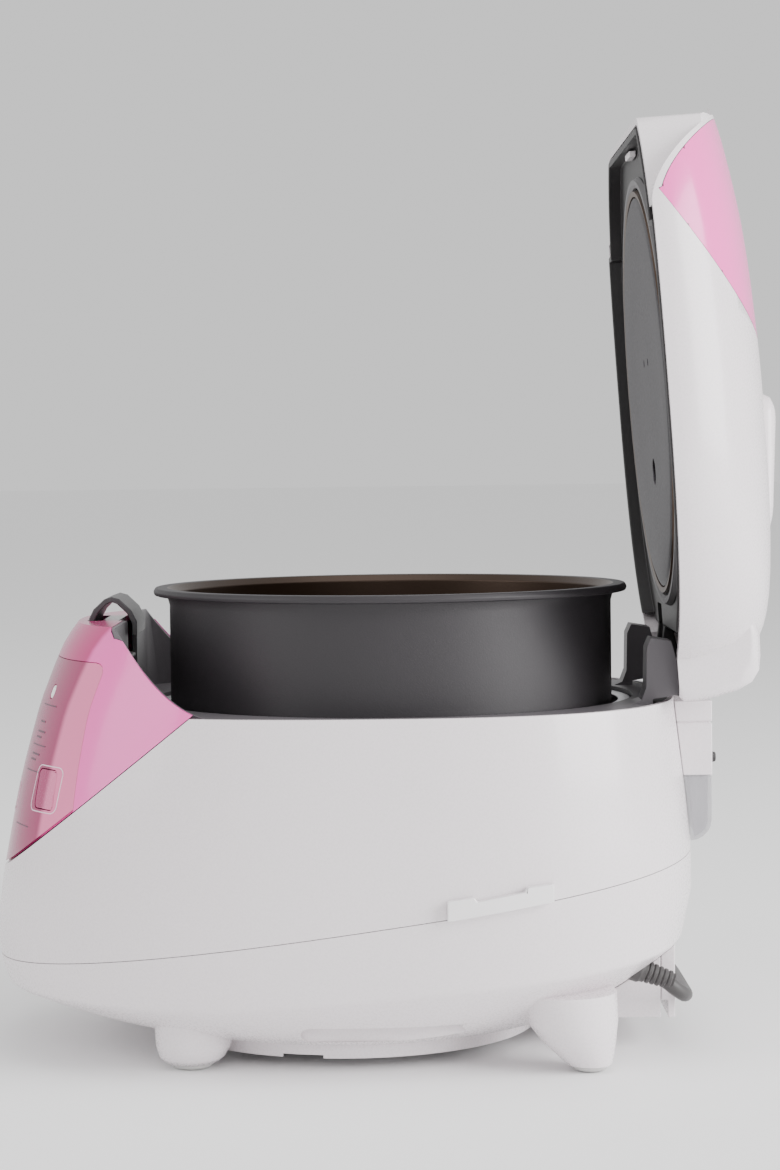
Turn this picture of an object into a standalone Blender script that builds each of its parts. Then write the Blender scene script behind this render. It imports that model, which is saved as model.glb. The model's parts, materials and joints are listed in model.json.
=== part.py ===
"""A six-cup micom rice cooker with its lid open and its inner pot drawn up for lifting out.

Lengths in this script are millimetres, and every mesh is written to the scene in metres.
The front faces -Y, up is +Z, and the pot's axis is the Z axis. Z = 0 is the table.
"""

import math

import bmesh
import bpy
from mathutils import Matrix, Vector

MM = 0.001
GAP = 0.3            # running gap between neighbouring pieces
FAR = 400.0          # half size of a cutting block, larger than the cooker

# ---------------------------------------------------------------- driving sizes
OUTLINE_POINTS = 42  # corners round the plan outline
TURN_STEPS = 40      # corners round a turned piece
FRONT_POWER = 2.45   # superellipse powers of the plan outline, front and rear halves
REAR_POWER = 2.55
WALL = 2.5           # moulded wall of the housing

DECK_Z = 159.5       # top edge of the white housing
CROWN_Z = 197.0      # top of the pink control panel
CROWN_INNER_Y = -121.5
LID_RIM_Z = 160.5    # lower edge of the closed lid
LID_WALL = 3.0
LOBE_WALL = 1.5
LID_REAR = 134.0

POT_RIM_R = 111.0
POT_WALL_R = 103.5
POT_RIM_TOP = 161.5  # when the pot sits in the cooker
POT_DEPTH = 118.0
POT_LIFT = 50.0      # how far the pot is drawn up at rest

HINGE_Y = 134.0
HINGE_Z = 166.1
LID_OPEN = math.radians(86.0)
PIN_R = 1.6
HUB_R = 3.7

BASE_CIRCLE_Y = -20.0
BASE_CIRCLE_R = 88.0
BASE_CIRCLE_Z = 12.0  # where the housing's skin ends at the round foot
BASE_FOOT_Z = 5.4

# height, half width, reach to the front and reach to the rear of the housing's skin
STATIONS = (
    (10, 110.0, 168.0, 108.0),
    (20, 117.0, 175.0, 118.0),
    (30, 121.5, 180.0, 124.0),
    (40, 124.6, 183.0, 130.0),
    (50, 126.6, 184.4, 134.5),
    (60, 127.8, 184.6, 137.0),
    (75, 128.5, 183.0, 139.0),
    (90, 128.6, 180.2, 138.6),
    (105, 128.5, 177.3, 137.3),
    (120, 128.0, 174.2, 135.8),
    (135, 127.3, 170.5, 134.0),
    (150, 126.3, 166.3, 132.2),
    (160, 125.5, 163.3, 131.0),
    (170, 123.8, 159.4, 129.0),
    (180, 121.3, 155.4, 126.0),
    (190, 118.0, 150.5, 122.0),
    (200, 112.5, 143.0, 116.0),
)

# crown of the lid along its middle: depth and height when closed
LID_CROWN = (
    (-170, 199.0),
    (-130, 206.2),
    (-100, 207.3),
    (-63, 209.6),
    (-30, 210.9),
    (0, 211.7),
    (32, 211.4),
    (69, 210.2),
    (100, 208.8),
    (140, 206.5),
)
LID_CAMBER = 10.0    # fall of the lid's crown from its middle to its sides

# colour, roughness and metallic value of each finish
FINISHES = {
    "white_plastic": ((0.80, 0.77, 0.78), 0.28, 0.0),
    "pink_panel": ((0.83, 0.42, 0.63), 0.15, 0.0),
    "control_film": ((0.68, 0.40, 0.53), 0.2, 0.0),
    "dark_plastic": ((0.13, 0.12, 0.13), 0.4, 0.0),
    "black_plastic": ((0.02, 0.02, 0.02), 0.5, 0.0),
    "pot_coating": ((0.09, 0.085, 0.09), 0.35, 0.4),
    "steel": ((0.55, 0.55, 0.56), 0.3, 1.0),
    "aluminium": ((0.62, 0.62, 0.64), 0.35, 1.0),
    "seal_rubber": ((0.30, 0.30, 0.31), 0.6, 0.0),
    "black_rubber": ((0.04, 0.04, 0.04), 0.7, 0.0),
    "pad_rubber": ((0.62, 0.61, 0.60), 0.7, 0.0),
    "clear_plastic": ((0.75, 0.76, 0.80), 0.1, 0.0),
    "lens_plastic": ((0.05, 0.05, 0.06), 0.1, 0.0),
    "lamp_lens": ((0.95, 0.95, 0.93), 0.3, 0.0),
    "board": ((0.05, 0.22, 0.10), 0.5, 0.0),
    "cord_rubber": ((0.09, 0.085, 0.085), 0.55, 0.0),
    "brass": ((0.75, 0.60, 0.32), 0.3, 1.0),
}


# ---------------------------------------------------------------- small tools
def smooth_table(table, at):
    """The columns of a table at a value of its first column, on a smooth curve."""
    keys = [row[0] for row in table]
    at = min(max(at, keys[0]), keys[-1])
    i = min(max(sum(key <= at for key in keys) - 1, 0), len(keys) - 2)
    low, high = table[i], table[i + 1]
    before, after = table[max(i - 1, 0)], table[min(i + 2, len(table) - 1)]
    span = high[0] - low[0]
    t = (at - low[0]) / span
    found = []
    for column in range(1, len(low)):
        slope_low = (high[column] - before[column]) / (high[0] - before[0]) * span
        slope_high = (after[column] - low[column]) / (after[0] - low[0]) * span
        found.append(
            low[column] * (1 + 2 * t) * (1 - t) ** 2
            + slope_low * t * (1 - t) ** 2
            + high[column] * t * t * (3 - 2 * t)
            + slope_high * t * t * (t - 1)
        )
    return found


def outline_point(turn, half_width, front, rear):
    """A point on the plan outline: a superellipse whose front half is longer than its rear half."""
    c, s = math.cos(turn), math.sin(turn)
    power = 2 / (FRONT_POWER if s < 0 else REAR_POWER)
    reach = front if s < 0 else rear
    x = half_width * math.copysign(abs(c) ** power, c)
    return x, reach * math.copysign(abs(s) ** power, s)


def turns(count):
    return [2 * math.pi * k / count for k in range(count)]


def wall_ring(z, inset=0.0):
    """The housing's outline at a height, moved inwards."""
    half_width, front, rear = (size - inset for size in smooth_table(STATIONS, z))
    return [(*outline_point(a, half_width, front, rear), z) for a in turns(OUTLINE_POINTS)]


def sloped_ring(height_at, inset=0.0):
    """The housing's outline where it meets a plane that slopes from front to rear."""
    ring = []
    for a in turns(OUTLINE_POINTS):
        y = 0.0
        for _ in range(8):
            sizes = (size - inset for size in smooth_table(STATIONS, height_at(y)))
            x, y = outline_point(a, *sizes)
        ring.append((x, y, height_at(y)))
    return ring


def parting_z(y):
    """Height of the seam between the upper and lower housings."""
    return 70.4 + 0.1405 * y


def crease_z(y):
    """Height of the edge where the wall turns under."""
    return max(39.0 + 0.0806 * y, 33.0)


def belt_z(y):
    """Height of the slanted line that the pink panel and the pink lid insert stop at."""
    return 84.0 + 0.806 * (y + 180.7)


def slide_curve(y):
    """Height of the control panel's swept side edge, from its top down to the deck."""
    u = min(max((y + 122.0) / 44.0, 0.0), 1.0)
    return DECK_Z + (CROWN_Z + 0.5 - DECK_Z) * (1 - u) ** 1.8


def slide_points(lift, steps=12):
    """The swept edge as (y, z) points from the deck up to the panel's top, raised by lift."""
    ys = [-78.0 - 44.0 * k / steps for k in range(steps + 1)]
    return [(y, slide_curve(y) + lift) for y in ys]


def arc(cy, cz, radius, start, end, steps):
    """Points on an arc in a plane, with its angles in degrees."""
    angles = [math.radians(start + (end - start) * k / steps) for k in range(steps + 1)]
    return [(cy + radius * math.cos(a), cz + radius * math.sin(a)) for a in angles]


def rounded_rect(cx, cy, half_x, half_y, radius, steps=3):
    corners = ((1, 1, 0), (-1, 1, 90), (-1, -1, 180), (1, -1, 270))
    points = []
    for sx, sy, start in corners:
        centre_x = cx + sx * (half_x - radius)
        centre_y = cy + sy * (half_y - radius)
        points += arc(centre_x, centre_y, radius, start, start + 90, steps)
    return points


# ---------------------------------------------------------------- solids
def finish_material(finish):
    if finish in bpy.data.materials:
        return bpy.data.materials[finish]
    colour, roughness, metallic = FINISHES[finish]
    material = bpy.data.materials.new(finish)
    material.use_nodes = True
    shader = material.node_tree.nodes["Principled BSDF"]
    shader.inputs["Base Color"].default_value = (*colour, 1.0)
    shader.inputs["Roughness"].default_value = roughness
    shader.inputs["Metallic"].default_value = metallic
    return material


def solid(mesh_builder):
    """A scratch object from a function that fills a bmesh in millimetres."""
    bm = bmesh.new()
    mesh_builder(bm)
    bmesh.ops.recalc_face_normals(bm, faces=bm.faces)
    mesh = bpy.data.meshes.new("scratch")
    bm.to_mesh(mesh)
    bm.free()
    obj = bpy.data.objects.new("scratch", mesh)
    bpy.context.scene.collection.objects.link(obj)
    return obj


def loft(rings):
    """A closed solid through rings of equal count, with flat ends."""

    def build(bm):
        rows = [[bm.verts.new(p) for p in ring] for ring in rings]
        for low, high in zip(rows, rows[1:]):
            for k in range(len(low)):
                j = (k + 1) % len(low)
                bm.faces.new((low[k], low[j], high[j], high[k]))
        bm.faces.new(rows[0][::-1])
        bm.faces.new(rows[-1])

    return solid(build)


def prism(points, low, high, axis="x"):
    """A flat outline pushed along an axis. Along x its points are (y, z), along y (x, z), along z (x, y)."""
    place = {
        "x": lambda p, d: (d, p[0], p[1]),
        "y": lambda p, d: (p[0], d, p[1]),
        "z": lambda p, d: (p[0], p[1], d),
    }[axis]
    return loft([[place(p, low) for p in points], [place(p, high) for p in points]])


def block(low, high):
    x0, y0, z0 = low
    x1, y1, z1 = high
    return prism([(x0, y0), (x1, y0), (x1, y1), (x0, y1)], z0, z1, "z")


def disc_ring(radius, z, centre=(0.0, 0.0), steps=TURN_STEPS):
    return [
        (centre[0] + radius * math.cos(a), centre[1] + radius * math.sin(a), z)
        for a in turns(steps)
    ]


def turned(profile, centre=(0.0, 0.0), steps=TURN_STEPS):
    """A solid turned about a vertical axis, from (radius, z) points that run from end to end."""
    return loft([disc_ring(r, z, centre, steps) for r, z in profile])


def turned_ring(profile, centre=(0.0, 0.0), steps=TURN_STEPS):
    """A ring turned about a vertical axis from a closed (radius, z) section."""

    def build(bm):
        rows = [[bm.verts.new(p) for p in disc_ring(r, z, centre, steps)] for r, z in profile]
        for low, high in zip(rows, rows[1:] + rows[:1]):
            for k in range(steps):
                j = (k + 1) % steps
                bm.faces.new((low[k], low[j], high[j], high[k]))

    return solid(build)


def rod(start, end, radius, steps=14, end_radius=None):
    """A round bar, or a cone where the end radius differs."""
    start, end = Vector(start), Vector(end)
    along = end - start
    turn = along.to_track_quat("Z", "Y").to_matrix()
    rings = []
    for at, r in ((start, radius), (end, radius if end_radius is None else end_radius)):
        rings.append(
            [at + turn @ Vector((r * math.cos(a), r * math.sin(a), 0)) for a in turns(steps)]
        )
    return loft(rings)


def combine(target, others, operation):
    """Joins, cuts or intersects with the other solids, which are used up."""
    for other in others:
        modifier = target.modifiers.new("combine", "BOOLEAN")
        modifier.operation = operation
        modifier.object = other
        modifier.solver = "EXACT"
        bpy.context.view_layer.update()
        graph = bpy.context.evaluated_depsgraph_get()
        mesh = bpy.data.meshes.new_from_object(target.evaluated_get(graph))
        target.modifiers.clear()
        target.data = mesh
        bpy.data.objects.remove(other)
    return target


def join(target, *others):
    return combine(target, others, "UNION")


def cut(target, *others):
    return combine(target, others, "DIFFERENCE")


def within(target, *others):
    return combine(target, others, "INTERSECT")


def node(name, obj, finish, origin=(0.0, 0.0, 0.0), parent=None, sharp=35.0):
    """Names a finished solid, gives it its finish and puts its origin in place, in metres."""
    obj.name = name
    obj.data.name = name
    obj.data.transform(Matrix.Scale(MM, 4) @ Matrix.Translation(-Vector(origin)))
    obj.location = Vector(origin) * MM
    obj.data.materials.clear()
    obj.data.materials.append(finish_material(finish))
    obj.data.shade_smooth()
    obj.data.set_sharp_from_angle(angle=math.radians(sharp))
    if parent is not None:
        bpy.context.view_layer.update()
        obj.parent = parent
        obj.matrix_parent_inverse = parent.matrix_world.inverted()
    return obj


def empty(name, at):
    pivot = bpy.data.objects.new(name, None)
    pivot.empty_display_size = 0.02
    pivot.location = Vector(at) * MM
    bpy.context.scene.collection.objects.link(pivot)
    return pivot


# ---------------------------------------------------------------- shared forms
def housing_form(inset, low=28.0, high=CROWN_Z):
    """The housing's whole outer form between two heights."""
    levels = [z for z in (45, 62, 85, 110, 135, 158, 174, 188) if low < z < high]
    return loft([wall_ring(z, inset) for z in [low, *levels, high]])


def cavity_outline(inset):
    """Plan of the well inside the crown that the lid's nose drops into."""
    half_width, front = 119.0 - inset, 143.0 - inset
    flat_y = CROWN_INNER_Y + inset
    points = []
    for a in turns(OUTLINE_POINTS):
        x, y = outline_point(a, half_width, front, 60.0)
        points.append((x, max(y, flat_y)))
    return points


def side_view(points):
    """A block that keeps only what lies inside a side-view outline."""
    return prism(points, -FAR, FAR, "x")


# ---------------------------------------------------------------- lower housing
def underside_ring(share, inset=0.0):
    """A ring part way from the crease down to the round base."""
    crease = sloped_ring(lambda y: crease_z(y) - 1.5, 1.5 + inset)
    ring = []
    for (x, y, z), a in zip(crease, turns(OUTLINE_POINTS)):
        low_x = (BASE_CIRCLE_R - inset) * math.cos(a)
        low_y = BASE_CIRCLE_Y + (BASE_CIRCLE_R - inset) * math.sin(a)
        fall = 1 - (1 - share) ** 1.6
        low_z = BASE_CIRCLE_Z
        ring.append(
            (x + (low_x - x) * share, y + (low_y - y) * share, z + (low_z - z) * fall)
        )
    return ring


def base_form(inset, top_drop):
    """The lower housing as a solid: seam, wall, crease and the sloping underside."""
    lift = inset  # the inner form's floor stands above the outer one's
    rings = [sloped_ring(lambda y: parting_z(y) - top_drop, inset)]
    rings.append(sloped_ring(lambda y: (parting_z(y) + crease_z(y) + 3.0) / 2, inset))
    rings.append(sloped_ring(lambda y: crease_z(y) + 1.0, inset + 0.4))
    for share in (0.0, 0.3, 0.65, 1.0):
        rings.append([(x, y, z + lift) for x, y, z in underside_ring(share, inset)])
    return loft(rings)


def leg(rings, side):
    """A moulded leg through circles given as (x, y, z, radius)."""
    return loft([disc_ring(r, z, (side * x, y), 20) for x, y, z, r in rings])


FRONT_LEG = (
    (75.0, -90.8, 2.9, 11.6),
    (75.0, -90.8, 5.5, 14.8),
    (75.0, -90.2, 10.0, 16.8),
    (75.0, -89.0, 24.0, 18.8),
)
REAR_LEG = (
    (90.5, 85.6, 2.9, 9.6),
    (90.2, 84.2, 6.0, 12.0),
    (89.5, 81.0, 13.0, 16.4),
    (88.5, 78.0, 22.0, 20.4),
    (87.0, 75.0, 35.0, 23.0),
)
GLAND_AT = Vector((58.0, 110.0, 38.6))
CORD_OUT = Vector((0.0, 0.94, -0.341))
CORD_R = 3.4
BASE_HOLE_R = 76.0


def finger_recess(side, grow):
    """A long round-ended recess in the underside, for the fingers that lift the cooker."""
    outline = rounded_rect(-5.5, 19.4, 36.0 + grow, 4.2 + grow, 4.1 + grow, 4)
    x_low, x_high = 96.0 - grow, 135.0
    return prism(outline, *sorted((side * x_low, side * x_high)), "x")


def make_base():
    shell = base_form(0.0, 0.15)
    foot_ring = turned(
        [(BASE_CIRCLE_R - 1.0, BASE_CIRCLE_Z + 1.5), (BASE_CIRCLE_R - 1.0, BASE_CIRCLE_Z - 2.5),
         (BASE_CIRCLE_R - 2.0, BASE_FOOT_Z)],
        (0.0, BASE_CIRCLE_Y),
        OUTLINE_POINTS,
    )
    join(shell, foot_ring)
    cut(shell, base_form(WALL, -8.0))
    for side in (-1, 1):
        pocket = within(finger_recess(side, 1.8), base_form(0.6, 0.6))
        join(shell, pocket)
        cut(shell, finger_recess(side, 0.0))
        join(shell, leg(FRONT_LEG, side), leg(REAR_LEG, side))
        notch = block((side * 80 - 20, -50.0, 2.0), (side * 80 + 20, -32.0, 7.0))
        cut(shell, notch)
    cut(shell, turned([(BASE_HOLE_R, 0.0), (BASE_HOLE_R, 25.0)], (0.0, BASE_CIRCLE_Y)))
    gland_hole = rod(GLAND_AT - CORD_OUT * 16, GLAND_AT + CORD_OUT * 16, 6.6)
    cut(shell, gland_hole)
    node("base_shell", shell, "white_plastic")

    cover_r = BASE_HOLE_R - 0.4
    cover = turned(
        [(cover_r, 11.5), (cover_r, 7.5), (cover_r - 1.5, 6.2)], (0.0, BASE_CIRCLE_Y)
    )
    cut(cover, turned([(cover_r - 4.0, 20.0), (cover_r - 4.0, 9.0)], (0.0, BASE_CIRCLE_Y)))
    screw_places = []
    for k in range(3):
        a = math.radians(90 + 120 * k)
        screw_places.append((62.0 * math.cos(a), BASE_CIRCLE_Y + 62.0 * math.sin(a)))
    for place in screw_places:
        cut(cover, turned([(2.3, 20.0), (2.3, 5.0)], place, 12))
    node("bottom_cover", cover, "white_plastic")
    for k, place in enumerate(screw_places):
        screw = turned([(1.8, 15.0), (1.8, 5.9), (3.6, 5.9), (3.6, 4.6), (2.6, 4.0)], place, 12)
        node(f"cover_screw_{k + 1}", screw, "steel")

    for side, hand in ((-1, "left"), (1, "right")):
        for legs, end, radius in ((FRONT_LEG, "front", 9.6), (REAR_LEG, "rear", 8.2)):
            x, y = side * legs[0][0], legs[0][1]
            pad = turned([(radius, 2.6), (radius - 1.0, 0.9), (radius - 3.4, 0.0)], (x, y), 16)
            node(f"foot_pad_{end}_{hand}", pad, "pad_rubber")


# ---------------------------------------------------------------- upper housing
def make_body_shell():
    shell = cut(housing_form(0.0), housing_form(WALL, 20.0, CROWN_Z + 5))
    front_y = -FAR / 2
    deck_y = -180.7 + (DECK_Z - 84.0) / 0.806
    keep = side_view(
        [
            (front_y, parting_z(front_y) + 0.15),
            (FAR / 2, parting_z(FAR / 2) + 0.15),
            (FAR / 2, DECK_Z),
            (deck_y, DECK_Z),
            (front_y, belt_z(front_y)),
        ]
    )
    node("body_shell", within(shell, keep), "white_plastic")


GRIP_EDGE = (
    (22.7, 73.4), (68.6, 80.2), (68.6, 88.0), (57.0, 87.0), (55.6, 85.0),
    (35.6, 81.6), (34.2, 83.6), (22.7, 82.0),
)


def make_side_grips():
    for side, hand in ((-1, "left"), (1, "right")):
        grip = cut(housing_form(-4.6, 60.0, 100.0), housing_form(-GAP, 55.0, 105.0))
        half = prism(GRIP_EDGE, *sorted((side * 60.0, side * FAR)), "x")
        node(f"side_grip_{hand}", within(grip, half), "white_plastic")


# ---------------------------------------------------------------- control panel
OVERLAY_TOP = 181.5
FILM = 1.0           # thickness of the control film
ARCH_HALF = 21.0     # half width of the lid release arch

# name, side position, height, half width and half height of each key
KEYS = (
    ("key_cook", 71.0, 125.0, 8.4, 8.8),
    ("key_cancel", -71.0, 125.0, 8.4, 8.8),
    ("key_menu", 0.0, 118.0, 13.0, 6.0),
    ("key_time_down", -27.0, 118.0, 8.0, 6.0),
    ("key_time_up", 27.0, 118.0, 8.0, 6.0),
)


def overlay_region(grow):
    """Front-view outline of the control film, wider at its foot than at its head."""
    points = [(-84.0 - grow, OVERLAY_TOP - 6.0), (-94.0 - grow, 60.0), (94.0 + grow, 60.0)]
    points += arc(78.0, OVERLAY_TOP - 6.0, 6.0 + grow, 0, 90, 4)
    points += arc(-78.0, OVERLAY_TOP - 6.0, 6.0 + grow, 90, 170, 4)
    return prism(points, -FAR, -90.0, "y")


def panel_edge(drop, trim):
    """Side-view outline of the pink panel: belt line, swept edge and flat top."""
    front_y = -FAR / 2
    low, high = -110.0, -78.0
    for _ in range(30):
        meet_y = (low + high) / 2
        if slide_curve(meet_y) - drop > belt_z(meet_y) + trim:
            low = meet_y
        else:
            high = meet_y
    edge = [(y, z) for y, z in slide_points(-drop) if y < meet_y - 0.5]
    meet = (meet_y, belt_z(meet_y) + trim)
    return [(front_y, belt_z(front_y) + trim), meet, *edge, (front_y, CROWN_Z + 0.5 - drop)]


def skin_frame(x, z):
    """Point on the front skin at a side position and height, with its outward direction."""
    half_width, front, _ = smooth_table(STATIONS, z)
    y = -front * (1 - (abs(x) / half_width) ** FRONT_POWER) ** (1 / FRONT_POWER)
    above = smooth_table(STATIONS, z + 1.0)[1]
    slope = FRONT_POWER * (abs(x) / half_width) ** (FRONT_POWER - 1) / half_width
    normal = Vector(
        (
            math.copysign(slope, x) if x else 0.0,
            -FRONT_POWER * (abs(y) / front) ** (FRONT_POWER - 1) / front,
            FRONT_POWER * (abs(y) / front) ** FRONT_POWER / front * (front - above),
        )
    )
    return Vector((x, y, z)), normal.normalized()


def key_block(x, z, half_x, half_z, grow):
    """A round-cornered bar standing square to the skin, as a key's sides."""
    at, out = skin_frame(x, z)
    turn = out.to_track_quat("Z", "Y").to_matrix().to_4x4()
    bar = prism(rounded_rect(0, 0, half_x + grow, half_z + grow, 2.5 + grow), -9.0, 9.0, "z")
    bar.data.transform(Matrix.Translation(at) @ turn)
    return bar


LCD = (0.0, 150.0, 27.0, 13.0)
LAMP = (51.0, 167.0, 2.6, 3.2)


def make_front_panel():
    panel = cut(housing_form(0.0), housing_form(WALL, 20.0, CROWN_Z - WALL))
    within(panel, side_view(panel_edge(0.0, 0.5)))
    cut(panel, prism(cavity_outline(-2.5), 100.0, 220.0, "z"))
    groove = cut(housing_form(-3.0, 60.0, 186.0), housing_form(FILM + GAP, 55.0, 190.0))
    cut(panel, within(groove, overlay_region(0.35)))
    film = cut(housing_form(0.0, 60.0, 186.0), housing_form(FILM, 55.0, 190.0))
    within(film, overlay_region(0.0), side_view(panel_edge(0.0, 1.6)))
    for _, x, z, half_x, half_z in KEYS:
        cut(panel, key_block(x, z, half_x, half_z, 0.4))
        cut(film, key_block(x, z, half_x, half_z, 0.4))
    for x, z, half_x, half_z in (LCD, LAMP):
        cut(panel, key_block(x, z, half_x, half_z, 0.4))
        cut(film, key_block(x, z, half_x, half_z, 0.4))
    for y_low, y_high in ((-140.4, -133.6), (-126.0, -115.0)):
        slot = block((-ARCH_HALF - 0.5, y_low, 185.0), (ARCH_HALF + 0.5, y_high, 210.0))
        cut(panel, slot)
    node("front_panel", panel, "pink_panel")
    node("control_film", film, "control_film")

    for name, x, z, half_x, half_z in KEYS:
        key = cut(housing_form(0.0, 100.0, 140.0), housing_form(3.2, 95.0, 145.0))
        within(key, key_block(x, z, half_x, half_z, 0.0))
        origin, _ = skin_frame(x, z)
        node(name, key, "control_film", origin)
    for name, finish, (x, z, half_x, half_z) in (
        ("lcd_window", "lens_plastic", LCD),
        ("status_lamp", "lamp_lens", LAMP),
    ):
        window = cut(housing_form(0.0, 130.0, 185.0), housing_form(2.8, 125.0, 190.0))
        node(name, within(window, key_block(x, z, half_x, half_z, 0.0)), finish)


def make_release():
    """The arch over the crown that is pressed to free the lid, its hook and the hook's spring."""
    outer = [(-139.6, 190.0), (-139.6, 198.0), (-137.5, 202.2), (-132.5, 206.8), (-129.0, 208.0), (-125.5, 207.0),
             (-120.0, 201.8), (-117.4, 196.5), (-117.4, 190.0)]
    inner = [(-119.8, 190.0), (-119.8, 195.8), (-122.0, 200.2), (-126.6, 204.6), (-129.0, 205.5), (-131.4, 204.6),
             (-135.4, 200.6), (-137.2, 197.2), (-137.2, 190.0)]
    arch = prism(outer + inner, -ARCH_HALF, ARCH_HALF, "x")
    node("release_arch", arch, "dark_plastic", (0.0, -129.0, 200.0))

    hook = prism(
        [(-128.6, 166.0), (-125.6, 166.0), (-124.6, 176.0), (-121.0, 178.6), (-121.0, 180.0), (-127.6, 182.0)],
        -9.0, 9.0, "x",
    )
    join(hook, rod((-14.0, -127.0, 167.0), (14.0, -127.0, 167.0), 2.4))
    node("latch_hook", hook, "black_plastic", (0.0, -127.0, 167.0))
    spring = helix((-6.0, -131.2, 174.0), Vector((0, -1, 0)), 2.6, 0.45, 8.0, 4)
    node("latch_spring", spring, "steel")


def helix(start, along, radius, wire, length, coils):
    """A coil spring as a closed tube."""
    start, along = Vector(start), Vector(along).normalized()
    side = along.orthogonal().normalized()
    up = along.cross(side)
    per_coil = 8
    count = coils * per_coil
    rings = []
    for k in range(count + 1):
        a = 2 * math.pi * k / per_coil
        centre = start + along * (length * k / count) + (side * math.cos(a) + up * math.sin(a)) * radius
        run = (along * (length / coils / (2 * math.pi)) + (up * math.cos(a) - side * math.sin(a)) * radius).normalized()
        out = (side * math.cos(a) + up * math.sin(a)).normalized()
        cross = run.cross(out)
        rings.append([centre + (out * math.cos(b) + cross * math.sin(b)) * wire for b in turns(5)])
    return loft(rings)


# ---------------------------------------------------------------- deck
def hub(x_low, x_high, radius):
    return rod((x_low, HINGE_Y, HINGE_Z), (x_high, HINGE_Y, HINGE_Z), radius, 16)


PILLARS = ((42.2, 59.8), (-59.8, -42.2))
HINGE_ARMS = ((60.6, 65.2), (33.0, 41.2), (-41.2, -33.0), (-65.2, -60.6))


def make_deck():
    deck = loft([wall_ring(152.0, WALL + GAP), wall_ring(159.0, WALL + GAP)])
    ahead = cut(
        block((-FAR, -FAR, 140.0), (FAR, -88.0, 165.0)),
        prism(cavity_outline(-2.0), 130.0, 170.0, "z"),
    )
    cut(deck, ahead)
    crown = cut(
        prism(cavity_outline(-2.2), 151.0, CROWN_Z + 3, "z"),
        prism(cavity_outline(0.0), 140.0, CROWN_Z + 9, "z"),
    )
    crown_edge = [(-FAR, 153.0), (-83.0, 153.0), *slide_points(-0.6)[1:], (-FAR, CROWN_Z - 0.5)]
    join(deck, within(crown, side_view(crown_edge)))
    cut(deck, block((-ARCH_HALF - 1, -130.0, 164.0), (ARCH_HALF + 1, -115.0, 215.0)))
    well = turned([(108.8, 140.0), (108.8, 154.5), (113.2, 154.5), (113.2, 165.0)], steps=OUTLINE_POINTS)
    cut(deck, well)
    for low, high in PILLARS:
        pillar = prism(
            [(106.0, 153.0), (117.5, 153.0), (117.5, 161.0), (132.0, 163.2), (134.0, 169.0), (129.5, 174.0),
             (126.0, 187.0), (117.0, 188.5), (115.0, 184.0), (114.6, 166.0), (112.5, 160.5), (106.0, 158.0)],
            low, high, "x",
        )
        join(deck, pillar, hub(low, high, HUB_R))
    cut(deck, hub(-80.0, 80.0, PIN_R + 0.35))
    node("top_deck", deck, "dark_plastic")

    node("hinge_pin", hub(-65.8, 65.8, PIN_R), "steel", (0.0, HINGE_Y, HINGE_Z))
    for side, hand in ((-1, "left"), (1, "right")):
        spring = helix((side * 8.0, HINGE_Y, HINGE_Z), (side, 0, 0), 3.0, 0.55, 20.0, 7)
        node(f"hinge_spring_{hand}", spring, "steel")


# ---------------------------------------------------------------- inside the housing
def make_heating():
    liner = turned_ring(
        [(106.4, 56.0), (88.4, 37.6), (24.0, 37.6), (24.0, 36.8), (88.8, 36.8), (107.2, 55.6),
         (107.2, 154.8), (112.4, 154.8), (112.4, 157.2), (106.4, 157.2)]
    )
    node("pot_liner", liner, "aluminium")
    plate = turned_ring([(23.0, 38.0), (78.0, 38.0), (78.0, 41.0), (70.0, 42.8), (23.0, 42.8)])
    node("heater_plate", plate, "aluminium")
    cup = turned([(17.0, 26.0), (17.0, 41.0), (15.5, 43.0)], steps=24)
    cut(cup, turned([(15.0, 20.0), (15.0, 40.5)], steps=24))
    node("sensor_cap", cup, "steel", (0.0, 0.0, 43.0))
    node("sensor_spring", helix((0, 0, 15.6), (0, 0, 1), 8.0, 0.8, 23.6, 5), "steel")
    stand = turned([(21.0, 11.9), (21.0, 14.3)], steps=24)
    join(stand, turned_ring([(18.0, 13.0), (19.6, 13.0), (19.6, 35.0), (18.0, 35.0)], steps=24))
    node("sensor_holder", stand, "steel")

    power_board = block((-50.0, -156.0, 58.0), (50.0, -112.0, 59.6))
    for low, high in (((-30, -150, 59.0), (0, -122, 84.0)), ((12, -148, 59.0), (24, -132, 78.0)),
                      ((30, -140, 59.0), (44, -124, 72.0))):
        join(power_board, block(low, high))
    node("power_board", power_board, "board")
    lean = math.atan2(31.0, 106.0)
    control_board = prism([(-162.0, 108.0), (-160.4, 108.0), (-160.4, 172.0), (-162.0, 172.0)], -48.0, 48.0, "x")
    control_board.data.transform(
        Matrix.Translation((0, 8.0, 0))
        @ Matrix.Translation((0, -160, 108))
        @ Matrix.Rotation(-lean, 4, "X")
        @ Matrix.Translation((0, 160, -108))
    )
    node("control_board", control_board, "board")


# ---------------------------------------------------------------- rear of the housing
DEW_SEAM_Z = 123.4   # underside of the dew collector's housing
BUMPER_Z = 128.0


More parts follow.
